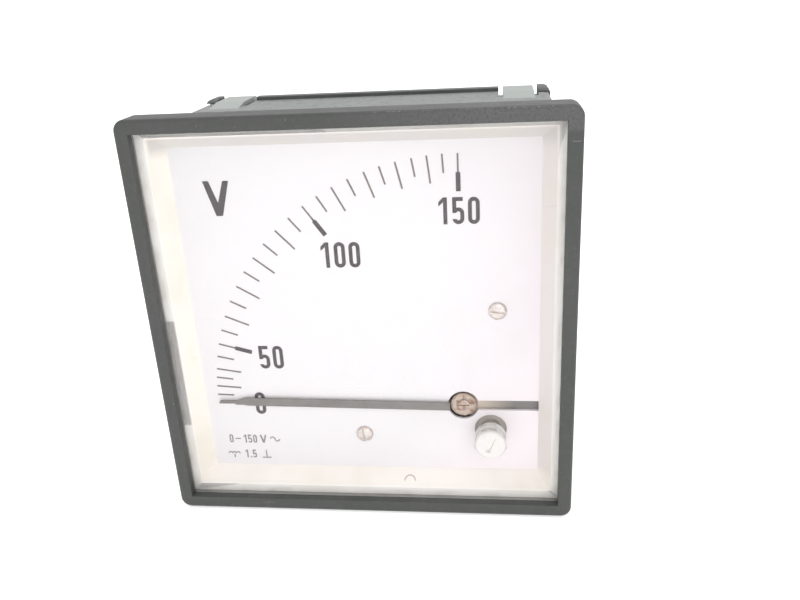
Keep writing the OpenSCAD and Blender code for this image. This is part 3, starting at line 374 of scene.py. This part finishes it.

# ---- Mask ----
# One-piece off-white moulding behind the window: a flat flange and four walls that slope back to
# the dial. The plastic has yellowed, most on the left, and a fibre is caught at the bottom. Light
# and
# shade are painted on: the left and lower walls and the flange lighter, the top wall darker.

cream = Finish("mask_plastic", (0.745, 0.705, 0.69), 0.5)
# Yellower and lighter on the left wall: real yellowing, with painted light on that wall
left_wall_yellowing_and_light = cream.over(cream.axis("X") * -1.0 + cream.noise(14 * mm) * 0.012, 0.028, 0.044)
cream.tint((0.90, 0.855, 0.785), left_wall_yellowing_and_light)
# Painted light: the lower wall, which faces up, is painted lighter
lower_wall_painted_light = cream.over(cream.axis("Z") * -1.0, 0.0385, 0.041)
cream.tint((0.91, 0.865, 0.82), lower_wall_painted_light * (1.0 - left_wall_yellowing_and_light * 0.4))
outermost = abs(cream.axis("X")).higher(abs(cream.axis("Z")))
# Painted light: the flange is painted lighter, to cancel the shade of the frame's lip
cream.tint((0.95, 0.93, 0.90), cream.over(outermost, 0.0432, 0.0436))
# Painted shade: the top wall, which faces down, is painted darker
top_wall_painted_shade = cream.over(cream.axis("Z"), 0.0385, 0.041)
top_wall_painted_shade = top_wall_painted_shade * (1.0 - cream.over(outermost, 0.0428, 0.0432))
cream.tint((0.58, 0.56, 0.545), top_wall_painted_shade * 0.7)
cream.tint((0.70, 0.64, 0.52), cream.over(cream.noise(17 * mm, shift=2), 0.5, 0.75) * 0.35)
stain = cream.spot((-0.0412, None, -0.0085), (1.2 * mm, None, 3.2 * mm), 2 * mm)
cream.tint((0.70, 0.55, 0.30), stain * cream.over(cream.noise(1.6 * mm, 4), 0.4, 0.62) * 0.55)
# Darker in patches along the outer edge, where the mask meets the frame
outer_edge_darkening = cream.over(outermost, 0.0440, 0.0444)
outer_edge_darkening = outer_edge_darkening * cream.over(cream.noise(6 * mm, shift=1), 0.45, 0.7)
cream.tint((0.55, 0.50, 0.43), outer_edge_darkening * 0.35)
# The fibre: a thin brown arch, 3 mm wide, on the lower wall
fibre_x, fibre_y, fibre_r = 9.4 * mm, -1.6 * mm, 1.3 * mm
from_middle = ((cream.axis("X") - fibre_x) ** 2.0 + (cream.axis("Y") - fibre_y) ** 2.0) ** 0.5
fibre = cream.over(abs(from_middle - fibre_r) * -1.0, -0.2 * mm, -0.08 * mm)
fibre = fibre * cream.over(cream.axis("Y"), fibre_y, fibre_y + 0.2 * mm)
fibre = fibre * cream.over(cream.axis("Z") * -1.0, 0.0405, 0.041)
cream.tint((0.42, 0.28, 0.25), fibre * 0.75)
cream.dull(cream.noise(5 * mm) * 0.15)
cream.relief(cream.noise(0.3 * mm), 0.008 * mm)
coat(cream, "mask")

# ---- Dial ----
# Sheet aluminium with white lacquer and dark screen printing. The lacquer has small specks of
# dirt, and the ink is a little uneven. Two slotted pan heads hold it to its pillars.

dial_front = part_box("dial_plate")[0][1]
lacquer = Finish("dial_lacquer", (0.755, 0.735, 0.75), 0.5)
# The white is slightly pink on the right. Painted shade greys the upper corners, under the top of
# the frame, and painted light brightens the lower right
x, z = lacquer.axis("X"), lacquer.axis("Z")
lacquer.tint((0.755, 0.70, 0.73), lacquer.over(x + lacquer.noise(25 * mm) * 0.03, 0.03, 0.06))
lacquer.tint((0.70, 0.665, 0.68), lacquer.over(x + z, 0.045, 0.085) * 0.8)
lacquer.tint((0.86, 0.80, 0.825), lacquer.over(x - z, 0.04, 0.07))
lacquer.tint((0.71, 0.70, 0.715), lacquer.over(z - x, 0.045, 0.09) * 0.7)
lacquer.tint((0.70, 0.68, 0.665), lacquer.over(lacquer.noise(13 * mm, shift=6), 0.55, 0.8) * 0.35)
tiny_spots = lacquer.over(lacquer.noise(0.7 * mm, 2, shift=11), 0.77, 0.79)
lacquer.tint((0.40, 0.36, 0.33), tiny_spots * 0.4)
speck = lacquer.spot((-0.03815, None, -0.01312), (0.12 * mm, None, 0.12 * mm), 0.14 * mm)
lacquer.tint((0.03, 0.03, 0.03), speck)
lacquer.relief(lacquer.noise(0.25 * mm), 0.005 * mm)
coat(lacquer, "dial_plate")

spindle_low, spindle_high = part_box("spindle")
centre = ((spindle_low[0] + spindle_high[0]) / 2, (spindle_low[2] + spindle_high[2]) / 2)
ink = Finish("dial_ink", (0.075, 0.065, 0.07), 0.55)
ink.tint((0.12, 0.105, 0.105), ink.over(ink.noise(0.6 * mm), 0.45, 0.7) * 0.6)
from_spindle = ink.away_from(*centre)
# The thin scale marks are paler than the thick inner halves of the main ones, at 50, 100 and 150
thin_marks = ink.over(from_spindle, 0.0538, 0.0541)
thin_marks = thin_marks * (1.0 - ink.over(from_spindle, 0.0625, 0.063))
main_angles, thick_r, thick_half = (15.45, 55.2, 90), 54.6 * mm, 2.1 * mm
for main_angle in main_angles:
    main_x = centre[0] - thick_r * math.cos(math.radians(main_angle))
    main_z = centre[1] + thick_r * math.sin(math.radians(main_angle))
    thick_part = ink.spot((main_x, None, main_z), (thick_half, None, thick_half), 0.3 * mm)
    thin_marks = thin_marks * (1.0 - thick_part)
ink.tint((0.22, 0.185, 0.185), thin_marks * 0.9)
small_signs = ink.over(ink.axis("Z") * -1.0, 0.0295, 0.0298)
ink.tint((0.27, 0.25, 0.25), small_signs)
coat(ink, "dial_print")

steel = Finish("plated_steel", (0.70, 0.645, 0.62), 0.34, Metallic=1.0)
steel.tint((0.50, 0.41, 0.36), steel.over(steel.noise(0.9 * mm), 0.42, 0.75) * 0.75)
steel.tint((0.20, 0.15, 0.12), steel.over(steel.noise(0.35 * mm, 4, shift=8), 0.6, 0.75) * 0.5)
steel.dull(steel.noise(0.6 * mm) * 0.25)
steel.relief(steel.noise(0.2 * mm), 0.004 * mm)


class Shapes(Nodes):
    """A Geometry Nodes tree with named sizes, whose result becomes a plain mesh."""

    def __init__(self, name, **sizes):
        super().__init__(bpy.data.node_groups.new(name, "GeometryNodeTree"))
        self.tree.is_modifier = True
        face = self.tree.interface
        self.ids = {}
        face.new_socket("Geometry", in_out="INPUT", socket_type="NodeSocketGeometry")
        face.new_socket("Geometry", in_out="OUTPUT", socket_type="NodeSocketGeometry")
        for size, value in sizes.items():
            kind = "NodeSocketInt" if isinstance(value, int) else "NodeSocketFloat"
            socket = face.new_socket(size, in_out="INPUT", socket_type=kind)
            socket.default_value = value
            self.ids[size] = socket.identifier
        finish = face.new_socket("finish", in_out="INPUT", socket_type="NodeSocketMaterial")
        self.ids["finish"] = finish.identifier
        self.inputs = self.add("NodeGroupInput")

    def size(self, name):
        """One of the tree's named sizes."""
        return self.inputs.of(name)

    def moved(self, geometry, shift=(0, 0, 0), turn=(0, 0, 0), scale=(1, 1, 1)):
        """The geometry in another place; a shift may be a link."""
        return self.add("GeometryNodeTransform", {}, {
            "Geometry": geometry, "Translation": shift, "Rotation": turn, "Scale": scale})

    def vector(self, x=0.0, y=0.0, z=0.0):
        return self.add("ShaderNodeCombineXYZ", {}, {0: x, 1: y, 2: z})

    def cut(self, operation, first, *others):
        """Boolean of the first shape with the others."""
        settings = {"operation": operation, "solver": "EXACT"}
        node = self.add("GeometryNodeMeshBoolean", settings)
        name = "Mesh 1" if operation == "DIFFERENCE" else "Mesh 2"
        self.tree.links.new(first.socket, node.socket.node.inputs[name])
        for other in others:
            self.tree.links.new(other.socket, node.socket.node.inputs["Mesh 2"])
        return node

    def joined(self, *parts):
        node = self.add("GeometryNodeJoinGeometry")
        for part in reversed(parts):
            self.tree.links.new(part.socket, node.socket.node.inputs[0])
        return node

    def on_points(self, part):
        """The part on each point of the base mesh, turned as the point's attribute says."""
        aim = self.add("GeometryNodeInputNamedAttribute", {"data_type": "FLOAT_VECTOR"},
                       {"Name": "aim"})
        return self.add("GeometryNodeInstanceOnPoints", {}, {
            "Points": self.inputs.of("Geometry"), "Instance": part, "Rotation": aim})

    def finish_with(self, geometry):
        """Ends the tree."""
        real = self.add("GeometryNodeRealizeInstances", {}, {"Geometry": geometry})
        painted = self.add("GeometryNodeSetMaterial", {}, {
            "Geometry": real, "Material": self.size("finish")})
        end = self.tree.nodes.new("NodeGroupOutput")
        self.tree.links.new(painted.socket, end.inputs[0])

    def mesh(self, name, base, finish, **sizes):
        """Runs the tree on a base mesh and gives the result as a mesh of its own."""
        holder = bpy.data.objects.new(name + "_base", base)
        bpy.context.collection.objects.link(holder)
        modifier = holder.modifiers.new("shapes", "NODES")
        modifier.node_group = self.tree
        modifier[self.ids["finish"]] = finish.material
        for size, value in sizes.items():
            modifier[self.ids[size]] = value
        seen = holder.evaluated_get(bpy.context.evaluated_depsgraph_get())
        result = bpy.data.meshes.new_from_object(seen)
        result.name = name
        holder.modifiers.clear()
        bpy.data.objects.remove(holder)
        return result


def places(name, points):
    """A mesh of points, each with the Euler angles that its copy is turned by."""
    mesh = bpy.data.meshes.new(name)
    mesh.from_pydata([place for place, aim in points], [], [])
    aims = mesh.attributes.new("aim", "FLOAT_VECTOR", "POINT")
    for value, (place, aim) in zip(aims.data, points):
        value.vector = aim
    return mesh


# A slotted pan head of a superelliptic profile on a plain shank; its slot runs along X
screws = Shapes("slotted_screws", head_radius=2.1 * mm, head_height=0.85 * mm, slot_width=0.5 * mm,
                slot_depth=0.4 * mm, shank_radius=1.2 * mm, shank_length=4 * mm)
blank = screws.add("GeometryNodeMeshCone", {}, {
    "Vertices": 40, "Side Segments": 12, "Radius Top": 0.0, "Radius Bottom": 1.0, "Depth": 1.0})
at = screws.add("ShaderNodeSeparateXYZ", {}, {0: screws.add("GeometryNodeInputPosition")})
rise = at.of("Z").clipped()
swing = rise * (math.pi / 2)
wide = swing.maths("COSINE", swing).higher(0.0) ** 0.6
high = swing.maths("SINE", swing).higher(0.0) ** 0.75
spread = wide * screws.size("head_radius") / (1.0 - rise).higher(1e-4)
head = screws.add("GeometryNodeSetPosition", {}, {"Geometry": blank, "Position": screws.vector(
    at.of("X") * spread, at.of("Y") * spread, high * screws.size("head_height"))})
slot_bar = screws.add("GeometryNodeMeshCube", {}, {"Size": screws.vector(
    screws.size("head_radius") * 3.0, screws.size("slot_width"), screws.size("slot_depth") * 2.0)})
slot_bar = screws.moved(slot_bar, screws.vector(z=screws.size("head_height")))
shank = screws.add("GeometryNodeMeshCylinder", {}, {
    "Vertices": 24, "Radius": screws.size("shank_radius"), "Depth": screws.size("shank_length")})
shank = screws.moved(shank, screws.vector(z=screws.size("shank_length") * -0.5))
screws.finish_with(screws.on_points(screws.joined(screws.cut("DIFFERENCE", head, slot_bar), shank)))

to_front, to_back = math.radians(90), math.radians(-90)
for node, turn in (("dial_screw_upper", 8), ("dial_screw_lower", 78)):
    low, high_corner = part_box(node)
    seat = ((low[0] + high_corner[0]) / 2, dial_front, (low[2] + high_corner[2]) / 2)
    base = places(node, [(seat, (to_front, math.radians(turn), 0))])
    finished(node + "_head", screws.mesh(node, base, steel), None, "steel", "housing", node)

# A strip of grey sheet behind the slot in the dial and a grey ring behind the hole for the zero
# adjuster, put there as painted shade: their grey stands in for the dim inside that is seen through
# the slot and the hole. Both are guesses, made from the grey that is seen there.
plate_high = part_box("dial_plate")[1]
card_t, card_half = 0.3 * mm, 2.2 * mm
bridge_end = centre[0] + 12.22 * mm
shape = bmesh.new()
bmesh.ops.create_cube(shape, size=1.0)
card_low = Vector((bridge_end, plate_high[1], centre[1] - card_half))
card_high = Vector((plate_high[0], plate_high[1] + card_t, centre[1] + card_half))
bmesh.ops.scale(shape, vec=card_high - card_low, verts=shape.verts)
bmesh.ops.translate(shape, vec=(card_high + card_low) / 2, verts=shape.verts)
slot_shade_sheet_finish = Finish("grey_card", (0.215, 0.205, 0.20), 0.8)
slot_shade_sheet_finish.tint((0.165, 0.16, 0.155), slot_shade_sheet_finish.over(slot_shade_sheet_finish.noise(0.8 * mm, 4), 0.4, 0.7) * 0.6)
slot_shade_sheet_finish.relief(slot_shade_sheet_finish.noise(0.2 * mm, 4), 0.02 * mm)
finished("slot_shade_sheet", plain_mesh("slot_shade_sheet", shape), slot_shade_sheet_finish, "dial_ink", "housing")
adjuster_low, adjuster_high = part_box("zero_adjuster")
adjuster_x = (adjuster_low[0] + adjuster_high[0]) / 2
adjuster_z = (adjuster_low[2] + adjuster_high[2]) / 2
hole_shade_ring_finish = Finish("grey_felt", (0.44, 0.41, 0.37), 0.9)
hole_shade_ring_finish.tint((0.30, 0.27, 0.24), hole_shade_ring_finish.over(hole_shade_ring_finish.noise(0.6 * mm, 4), 0.45, 0.7) * 0.6)
hole_shade_ring_finish.relief(hole_shade_ring_finish.noise(0.15 * mm, 4), 0.04 * mm)
felt_inner, felt_outer, felt_front, felt_t = 2.35 * mm, 5 * mm, plate_high[1], 0.2 * mm
shape = bmesh.new()
rings = []
for radius, depth in ((felt_inner, felt_front + felt_t), (felt_inner, felt_front),
                      (felt_outer, felt_front), (felt_outer, felt_front + felt_t)):
    turns = [math.radians(a) for a in range(0, 360, 6)]
    rings.append([shape.verts.new((adjuster_x + radius * math.cos(a), depth,
                                   adjuster_z + radius * math.sin(a))) for a in turns])
loft(shape, rings)
finished("hole_shade_ring", plain_mesh("hole_shade_ring", shape), hole_shade_ring_finish, "dial_ink", "housing")

# ---- Pointer ----
# Thin aluminium strip under dark lacquer: a wide bar that is easy to read from afar, ending in a
# short needle. The lacquer is matt and slightly uneven.

black = Finish("pointer_lacquer", (0.185, 0.175, 0.165), 0.5)
black.tint((0.24, 0.225, 0.215), black.over(black.noise(3 * mm), 0.4, 0.8) * 0.6)
black.tint((0.32, 0.30, 0.28), black.over(black.noise(0.4 * mm, 4, shift=4), 0.66, 0.75) * 0.5)
black.relief(black.noise(0.25 * mm), 0.004 * mm)
coat(black, "pointer")

# ---- Front bearing ----
# Bronze bridge whose boss stands in the hole in the dial, with a slotted bearing screw and its
# jewel. The pointer's riser runs in the gap around it. The bronze is dull, with brown patches and
# a darker brown edge round the boss, painted shade beside the gap, and its leg darkens to the
# right.

bronze = Finish("bearing_bronze", (0.56, 0.47, 0.405), 0.5, Metallic=0.4)
from_axis = bronze.away_from(*centre)
patches = bronze.over(bronze.noise(1.2 * mm, 4, shift=2), 0.46, 0.6)
bronze.tint((0.27, 0.13, 0.085), patches * 0.9)
# Painted shade: the outer edge of the boss is painted darker brown, next to the dark gap
bronze.tint((0.36, 0.28, 0.22), bronze.over(from_axis, 2.3 * mm, 2.9 * mm) * 0.7)
leg = bronze.over(bronze.axis("X"), centre[0] + 3.2 * mm, centre[0] + 3.6 * mm)
bronze.tint((0.62, 0.56, 0.48), leg * 0.8)
far_leg = bronze.over(bronze.axis("X"), centre[0] + 4.5 * mm, centre[0] + 11.5 * mm)
bronze.tint((0.22, 0.21, 0.20), far_leg * 0.9)
bronze.dull(bronze.noise(0.7 * mm) * 0.2)
bronze.relief(bronze.noise(0.35 * mm, 4), 0.012 * mm)
coat(bronze, "front_bridge", "front_bearing_screw")
ruby = Finish("ruby", (0.45, 0.03, 0.08), 0.15)
ruby.tint((0.35, 0.02, 0.06), ruby.noise(0.5 * mm))
coat(ruby, "front_jewel", "rear_jewel")

# ---- Zero adjuster ----
# White plastic screw that turns in the window and its collar. Its face has a screwdriver slot that
# is painted lighter inside, as painted light against its shade, and its crank pin runs in the fork
# of a blanked brass lever that carries the hairspring.


def turned(name, axis_x, axis_z, profile, steps=72):
    """A closed body of revolution about an axis along Y, from points of radius and depth."""
    shape = bmesh.new()
    rings = []
    for radius, depth in profile:
        if radius == 0:
            rings.append([shape.verts.new((axis_x, depth, axis_z))])
            continue
        angles = [2 * math.pi * i / steps for i in range(steps)]
        rings.append([shape.verts.new((axis_x + radius * math.cos(a), depth,
                                       axis_z + radius * math.sin(a))) for a in angles])
    for ring, following in zip(rings, rings[1:]):
        for i in range(steps):
            j = (i + 1) % steps
            corners = [ring[i % len(ring)], ring[j % len(ring)],
                       following[j % len(following)], following[i % len(following)]]
            shape.faces.new(list(dict.fromkeys(corners)))
    return plain_mesh(name, shape)


head_r = (adjuster_high[0] - adjuster_low[0]) / 2
neck_r = head_r - 0.3 * mm
pane_t, tail, play = 2 * mm, 1.5 * mm, 0.05 * mm
front_of_head = adjuster_low[1]
neck_start, neck_stop = glass_low[1] - play, glass_low[1] + pane_t + play
tail_end = glass_low[1] + pane_t + tail
edge, chamfer = 0.55 * mm, 0.15 * mm
rounding = arc((head_r - edge, front_of_head + edge), edge, 280, 360, 7)
screw_profile = [
    (0, front_of_head), (head_r - edge, front_of_head), *rounding, (head_r, neck_start),
    (neck_r, neck_start), (neck_r, neck_stop), (head_r, neck_stop),
    (head_r, tail_end - chamfer), (head_r - chamfer, tail_end), (0, tail_end)]
crank_reach, slot_lean, slot_reach = 1.55 * mm, 22, 2.2 * mm
crank = crank_reach * math.cos(math.radians(45))
slotting = Shapes("adjuster_slot", slot_length=4 * mm, slot_width=0.9 * mm, slot_depth=0.8 * mm,
                  pin_radius=0.6 * mm, pin_length=5 * mm)
bar = slotting.add("GeometryNodeMeshCube", {}, {"Size": slotting.vector(
    slotting.size("slot_length"), slotting.size("slot_depth") * 2.0, slotting.size("slot_width"))})
bar = slotting.moved(bar, (adjuster_x, front_of_head, adjuster_z),
                     (0, math.radians(slot_lean - 90), 0))
pin = slotting.add("GeometryNodeMeshCylinder", {}, {
    "Vertices": 24, "Radius": slotting.size("pin_radius"), "Depth": slotting.size("pin_length")})
pin_middle = (tail_end + adjuster_high[1]) / 2
pin = slotting.moved(pin, (adjuster_x + crank, pin_middle, adjuster_z - crank),
                     (math.radians(90), 0, 0))
slotted = slotting.cut("DIFFERENCE", slotting.size("Geometry"), bar)
slotting.finish_with(slotting.joined(slotted, pin))

white = Finish("adjuster_plastic", (0.67, 0.645, 0.63), 0.4)
white.tint((0.61, 0.585, 0.565), white.over(white.noise(1.5 * mm), 0.5, 0.8) * 0.6)
# Painted light: the inside of the screwdriver slot is painted lighter than the face
slot_painted_light = white.over(white.axis("Y"), front_of_head + 0.1 * mm, front_of_head + 0.8 * mm)
slot_painted_light = slot_painted_light * (1.0 - white.over(
    white.away_from(adjuster_x, adjuster_z), slot_reach, slot_reach + 0.2 * mm))
white.tint((0.92, 0.88, 0.85), slot_painted_light)
white.dull(white.noise(1.2 * mm) * 0.15)
white.relief(white.noise(0.5 * mm), 0.01 * mm)
blank_screw = turned("zero_adjuster_blank", adjuster_x, adjuster_z, screw_profile)
adjuster_mesh = slotting.mesh("zero_adjuster_screw", blank_screw, white,
                              pin_length=adjuster_high[1] - tail_end + 0.02 * mm)
finished("zero_adjuster_screw", adjuster_mesh, None, "white_plastic", "adjuster", "zero_adjuster")

dull_brass = Finish("dull_brass", (0.46, 0.42, 0.35), 0.5, Metallic=0.3)
dull_brass.tint((0.30, 0.27, 0.22), dull_brass.over(dull_brass.noise(1.2 * mm, 4), 0.45, 0.7) * 0.7)
dull_brass.dull(dull_brass.noise(0.8 * mm) * 0.2)
coat(dull_brass, "zero_lever")

# ---- Movement ----
# Spindle with its balance arms and sliding weights, the soft iron vane and the hairspring, between
# two riveted plates on turned pillars, round a coil of enamelled copper wire.

coat(steel, "bridge_screws", "front_plate", "brake_yoke", "board_screws", "solder_lug_left",
     "solder_lug_right")
brass = Finish("turned_brass", (0.66, 0.50, 0.25), 0.32, Metallic=1.0)
brass.tint((0.40, 0.28, 0.14), brass.over(brass.noise(2.0 * mm, shift=5), 0.42, 0.75) * 0.7)
brass.tint((0.16, 0.11, 0.07), brass.over(brass.noise(0.5 * mm, 5, shift=8), 0.6, 0.75) * 0.6)
brass.dull(brass.noise(0.8 * mm) * 0.25)
brass.relief(brass.noise(0.25 * mm), 0.005 * mm)
coat(brass, "dial_pillar_upper", "dial_pillar_lower", "frame_pillars", "rear_bearing_screw",
     "coil_pins", "terminal_washers", "balance_cross", "balance_weights", "vane_hub",
     "spring_collet", "hairspring")
iron = Finish("soft_iron", (0.30, 0.30, 0.31), 0.5, Metallic=1.0)
iron.tint((0.22, 0.20, 0.19), iron.noise(1.5 * mm))
iron.tint((0.20, 0.10, 0.05), iron.over(iron.noise(0.9 * mm, 4, shift=3), 0.6, 0.75) * 0.5)
coat(iron, "fixed_iron", "moving_iron", "brake_magnets", "spindle")
bright = Finish("bright_aluminium", (0.8, 0.81, 0.82), 0.25, Metallic=1.0)
bright.tint((0.7, 0.7, 0.71), bright.noise(2 * mm))
coat(bright, "damping_vane")
copper = Finish("winding", (0.55, 0.20, 0.09), 0.3, Metallic=0.6)
copper.tint((0.35, 0.10, 0.05), copper.noise(3 * mm))
along_coil = copper.axis("Y") * (2 * math.pi / (0.4 * mm))
copper.relief(copper.place.maths("SINE", along_coil) * 0.5 + 0.5, 0.05 * mm)
coat(copper, "coil_winding")
former = Finish("former_plastic", (0.62, 0.58, 0.48), 0.55)
former.tint((0.55, 0.50, 0.40), former.noise(5 * mm))
former.relief(former.noise(0.4 * mm), 0.01 * mm)
coat(former, "coil_former", "iron_carrier")

# ---- Series resistor and wires ----
# Wirewound resistor on a small laminate board, with sleeved wires to the coil and the terminals.

board = Finish("board_laminate", (0.36, 0.25, 0.12), 0.55)
board.tint((0.28, 0.18, 0.08), board.noise(2 * mm))
coat(board, "resistor_board")
cement = Finish("resistor_cement", (0.16, 0.27, 0.19), 0.6)
cement.tint((0.12, 0.2, 0.14), cement.noise(1 * mm))
cement.relief(cement.noise(0.3 * mm), 0.02 * mm)
coat(cement, "series_resistor")
for node, colour in (("coil_lead", (0.5, 0.05, 0.04)), ("link_lead", (0.03, 0.03, 0.035)),
                     ("resistor_lead", (0.05, 0.07, 0.35))):
    sleeve = Finish(node + "_sleeve", colour, 0.4)
    sleeve.tint(tuple(c * 0.7 for c in colour), sleeve.noise(3 * mm))
    coat(sleeve, node)

# ---- Case and rear cover ----
# Square box moulded in dark grey plastic with a spark-eroded grain. The snap tongues and the corner
# pads are smooth. The cover closes it behind the tongues, and four screws hold the movement to it.

shell = Finish("case_plastic", (0.215, 0.225, 0.222), 0.46)
shell.feed(shell.shader, {"Specular IOR Level": 0.65})
shell.tint((0.24, 0.25, 0.245), shell.over(shell.noise(8 * mm), 0.4, 0.75) * 0.7)
mottle = shell.over(shell.noise(1.5 * mm, 6, shift=4), 0.5, 0.72)
shell.tint((0.07, 0.077, 0.075), mottle * 0.6)
shell.tint((0.34, 0.34, 0.33), shell.over(shell.noise(1.0 * mm, 5, shift=14), 0.66, 0.76) * 0.35)
tongue_middle = 36.45 * mm
beside = abs(abs(shell.axis("X")) - tongue_middle)
smooth_tongue_sheen = shell.over(beside * -1.0, -4.0 * mm, -3.7 * mm)
smooth_tongue_sheen = smooth_tongue_sheen * shell.over(abs(shell.axis("Z")), 44.45 * mm, 44.5 * mm)
smooth_tongue_sheen = smooth_tongue_sheen * shell.over(shell.axis("Y"), 29 * mm, 30 * mm)
# Painted sheen: the smooth snap tongues are painted lighter; the same mask keeps them smoother in
# the relief
shell.tint((0.34, 0.365, 0.35), smooth_tongue_sheen)
shell.dull(shell.noise(3 * mm) * 0.12)
shell.relief(shell.noise(0.45 * mm, 4) * (1.0 - smooth_tongue_sheen * 0.8), 0.035 * mm)
coat(shell, "case")

back = Finish("cover_plastic", (0.05, 0.053, 0.051), 0.48)
back.tint((0.075, 0.077, 0.075), back.over(back.noise(9 * mm), 0.4, 0.75))
back.tint((0.20, 0.20, 0.19), back.over(back.noise(0.8 * mm, 5, shift=9), 0.66, 0.76) * 0.4)
# Painted light: the cover's top and bottom edges and its front edge are painted lighter, where
# shade falls
cover_edge_painted_light = back.over(abs(back.axis("Z")), cover_high[2] - 0.5 * mm, cover_high[2] - 0.3 * mm)
cover_edge_painted_light = cover_edge_painted_light + back.over(back.axis("Y") * -1.0, -cover_low[1] - 0.3 * mm, -cover_low[1])
back.tint((0.125, 0.13, 0.127), cover_edge_painted_light.clipped() * 0.8)
back.dull(back.noise(3 * mm) * 0.15)
back.relief(back.noise(0.4 * mm, 4), 0.025 * mm)
coat(back, "rear_cover", "base_plate")

cover_back = cover_high[1] - 1 * mm
screws_low, screws_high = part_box("movement_screws")
head_room = 1.6 * mm
screw_head_r = 2.1 * mm
seats = [((x, cover_back - head_room, z), (to_back, math.radians(20 + x / mm), 0))
         for x in (screws_low[0] + screw_head_r, screws_high[0] - screw_head_r)
         for z in (screws_low[2] + screw_head_r, screws_high[2] - screw_head_r)]
movement_heads = screws.mesh("movement_screw_heads", places("movement_screw_places", seats), steel,
                             head_height=1.4 * mm, slot_depth=0.7 * mm, shank_radius=1.0 * mm,
                             shank_length=cover_back - head_room - screws_low[1])
finished("movement_screw_heads", movement_heads, None, "steel", "housing", "movement_screws")

# ---- Terminals ----
# Two brass studs, M4, moulded into the cover's back, each with two washers and two chamfered nuts.
# The free ends show the thread.

studs = Shapes("threaded_studs", core_radius=1.74 * mm, thread_depth=0.27 * mm, pitch=0.7 * mm,
               free_length=15.2 * mm, pad=1 * mm, shank_radius=2.25 * mm, shank_length=4.9 * mm,
               head_radius=4.04 * mm, head_height=2.5 * mm)


def rod(tree, vertices, radius, low_end, high_end):
    """A cylinder along Z between two heights that are links of the tree."""
    tube = tree.add("GeometryNodeMeshCylinder", {}, {
        "Vertices": vertices, "Radius": radius, "Depth": high_end - low_end})
    return tree.moved(tube, tree.vector(z=(high_end + low_end) * 0.5))


pad, free_end = studs.size("pad"), studs.size("pad") + studs.size("free_length")
core_r, thread_h = studs.size("core_radius"), studs.size("thread_depth")
shank_low = pad - studs.size("shank_length")
core = rod(studs, 32, core_r, pad - 0.5 * mm, free_end)
tip = studs.moved(studs.add("GeometryNodeMeshCone", {}, {
    "Vertices": 32, "Radius Bottom": core_r, "Radius Top": core_r - 0.35 * mm, "Depth": 0.2 * mm}),
    studs.vector(z=free_end))
helix = studs.add("GeometryNodeCurveSpiral", {}, {
    "Resolution": 24, "Rotations": studs.size("free_length") / studs.size("pitch"),
    "Start Radius": core_r, "End Radius": core_r, "Height": studs.size("free_length")})
ridge = studs.add("GeometryNodeCurvePrimitiveCircle", {}, {"Resolution": 4, "Radius": thread_h})
thread = studs.moved(studs.add("GeometryNodeCurveToMesh", {}, {
    "Curve": helix, "Profile Curve": ridge, "Fill Caps": True}), studs.vector(z=pad))
stud_shank = rod(studs, 32, studs.size("shank_radius"), shank_low, pad)
head_low = shank_low - studs.size("head_height") + 0.1 * mm
stud_head = rod(studs, 6, studs.size("head_radius"), head_low, shank_low)
studs.finish_with(studs.on_points(studs.joined(core, tip, thread, stud_shank, stud_head)))
stud_axes = []
for node in ("terminal_stud_left", "terminal_stud_right"):
    low, high_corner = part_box(node)
    stud_axes.append(((low[0] + high_corner[0]) / 2, (low[2] + high_corner[2]) / 2))
stud_places = places("stud_places", [((x, cover_back, z), (to_back, 0, 0)) for x, z in stud_axes])
stud_mesh = studs.mesh("terminal_studs", stud_places, brass)
finished("terminal_studs", stud_mesh, None, "brass", "housing", "terminal_stud_left",
         "terminal_stud_right", smooth=math.radians(30))

nuts = Shapes("hexagon_nuts", nut_radius=4.04 * mm, nut_height=3.2 * mm, bore_radius=1.85 * mm)
prism = nuts.add("GeometryNodeMeshCylinder", {}, {
    "Vertices": 6, "Radius": nuts.size("nut_radius"), "Depth": nuts.size("nut_height")})
bevel_ball = nuts.moved(nuts.add("GeometryNodeMeshUVSphere", {}, {
    "Segments": 48, "Rings": 32, "Radius": nuts.size("nut_radius") * 1.015}), scale=(1, 1, 0.70))
bore = nuts.add("GeometryNodeMeshCylinder", {}, {
    "Vertices": 32, "Radius": nuts.size("bore_radius"), "Depth": nuts.size("nut_height") * 2.0})
nuts.finish_with(nuts.on_points(nuts.cut(
    "DIFFERENCE", nuts.cut("INTERSECT", prism, bevel_ball), bore)))
pad_t, washer_t, nut_h = 1 * mm, 0.8 * mm, 3.2 * mm
nut_middles = [pad_t + washer_t + nut_h / 2, pad_t + 2 * washer_t + nut_h * 1.5]
nut_places = places("nut_places", [
    ((x, cover_back + depth, z), (to_back, math.radians(7 + 17 * i + 23 * j), 0))
    for i, (x, z) in enumerate(stud_axes) for j, depth in enumerate(nut_middles)])
finished("terminal_hexagon_nuts", nuts.mesh("terminal_hexagon_nuts", nut_places, brass), None,
         "brass", "housing", "terminal_nuts", smooth=math.radians(25))
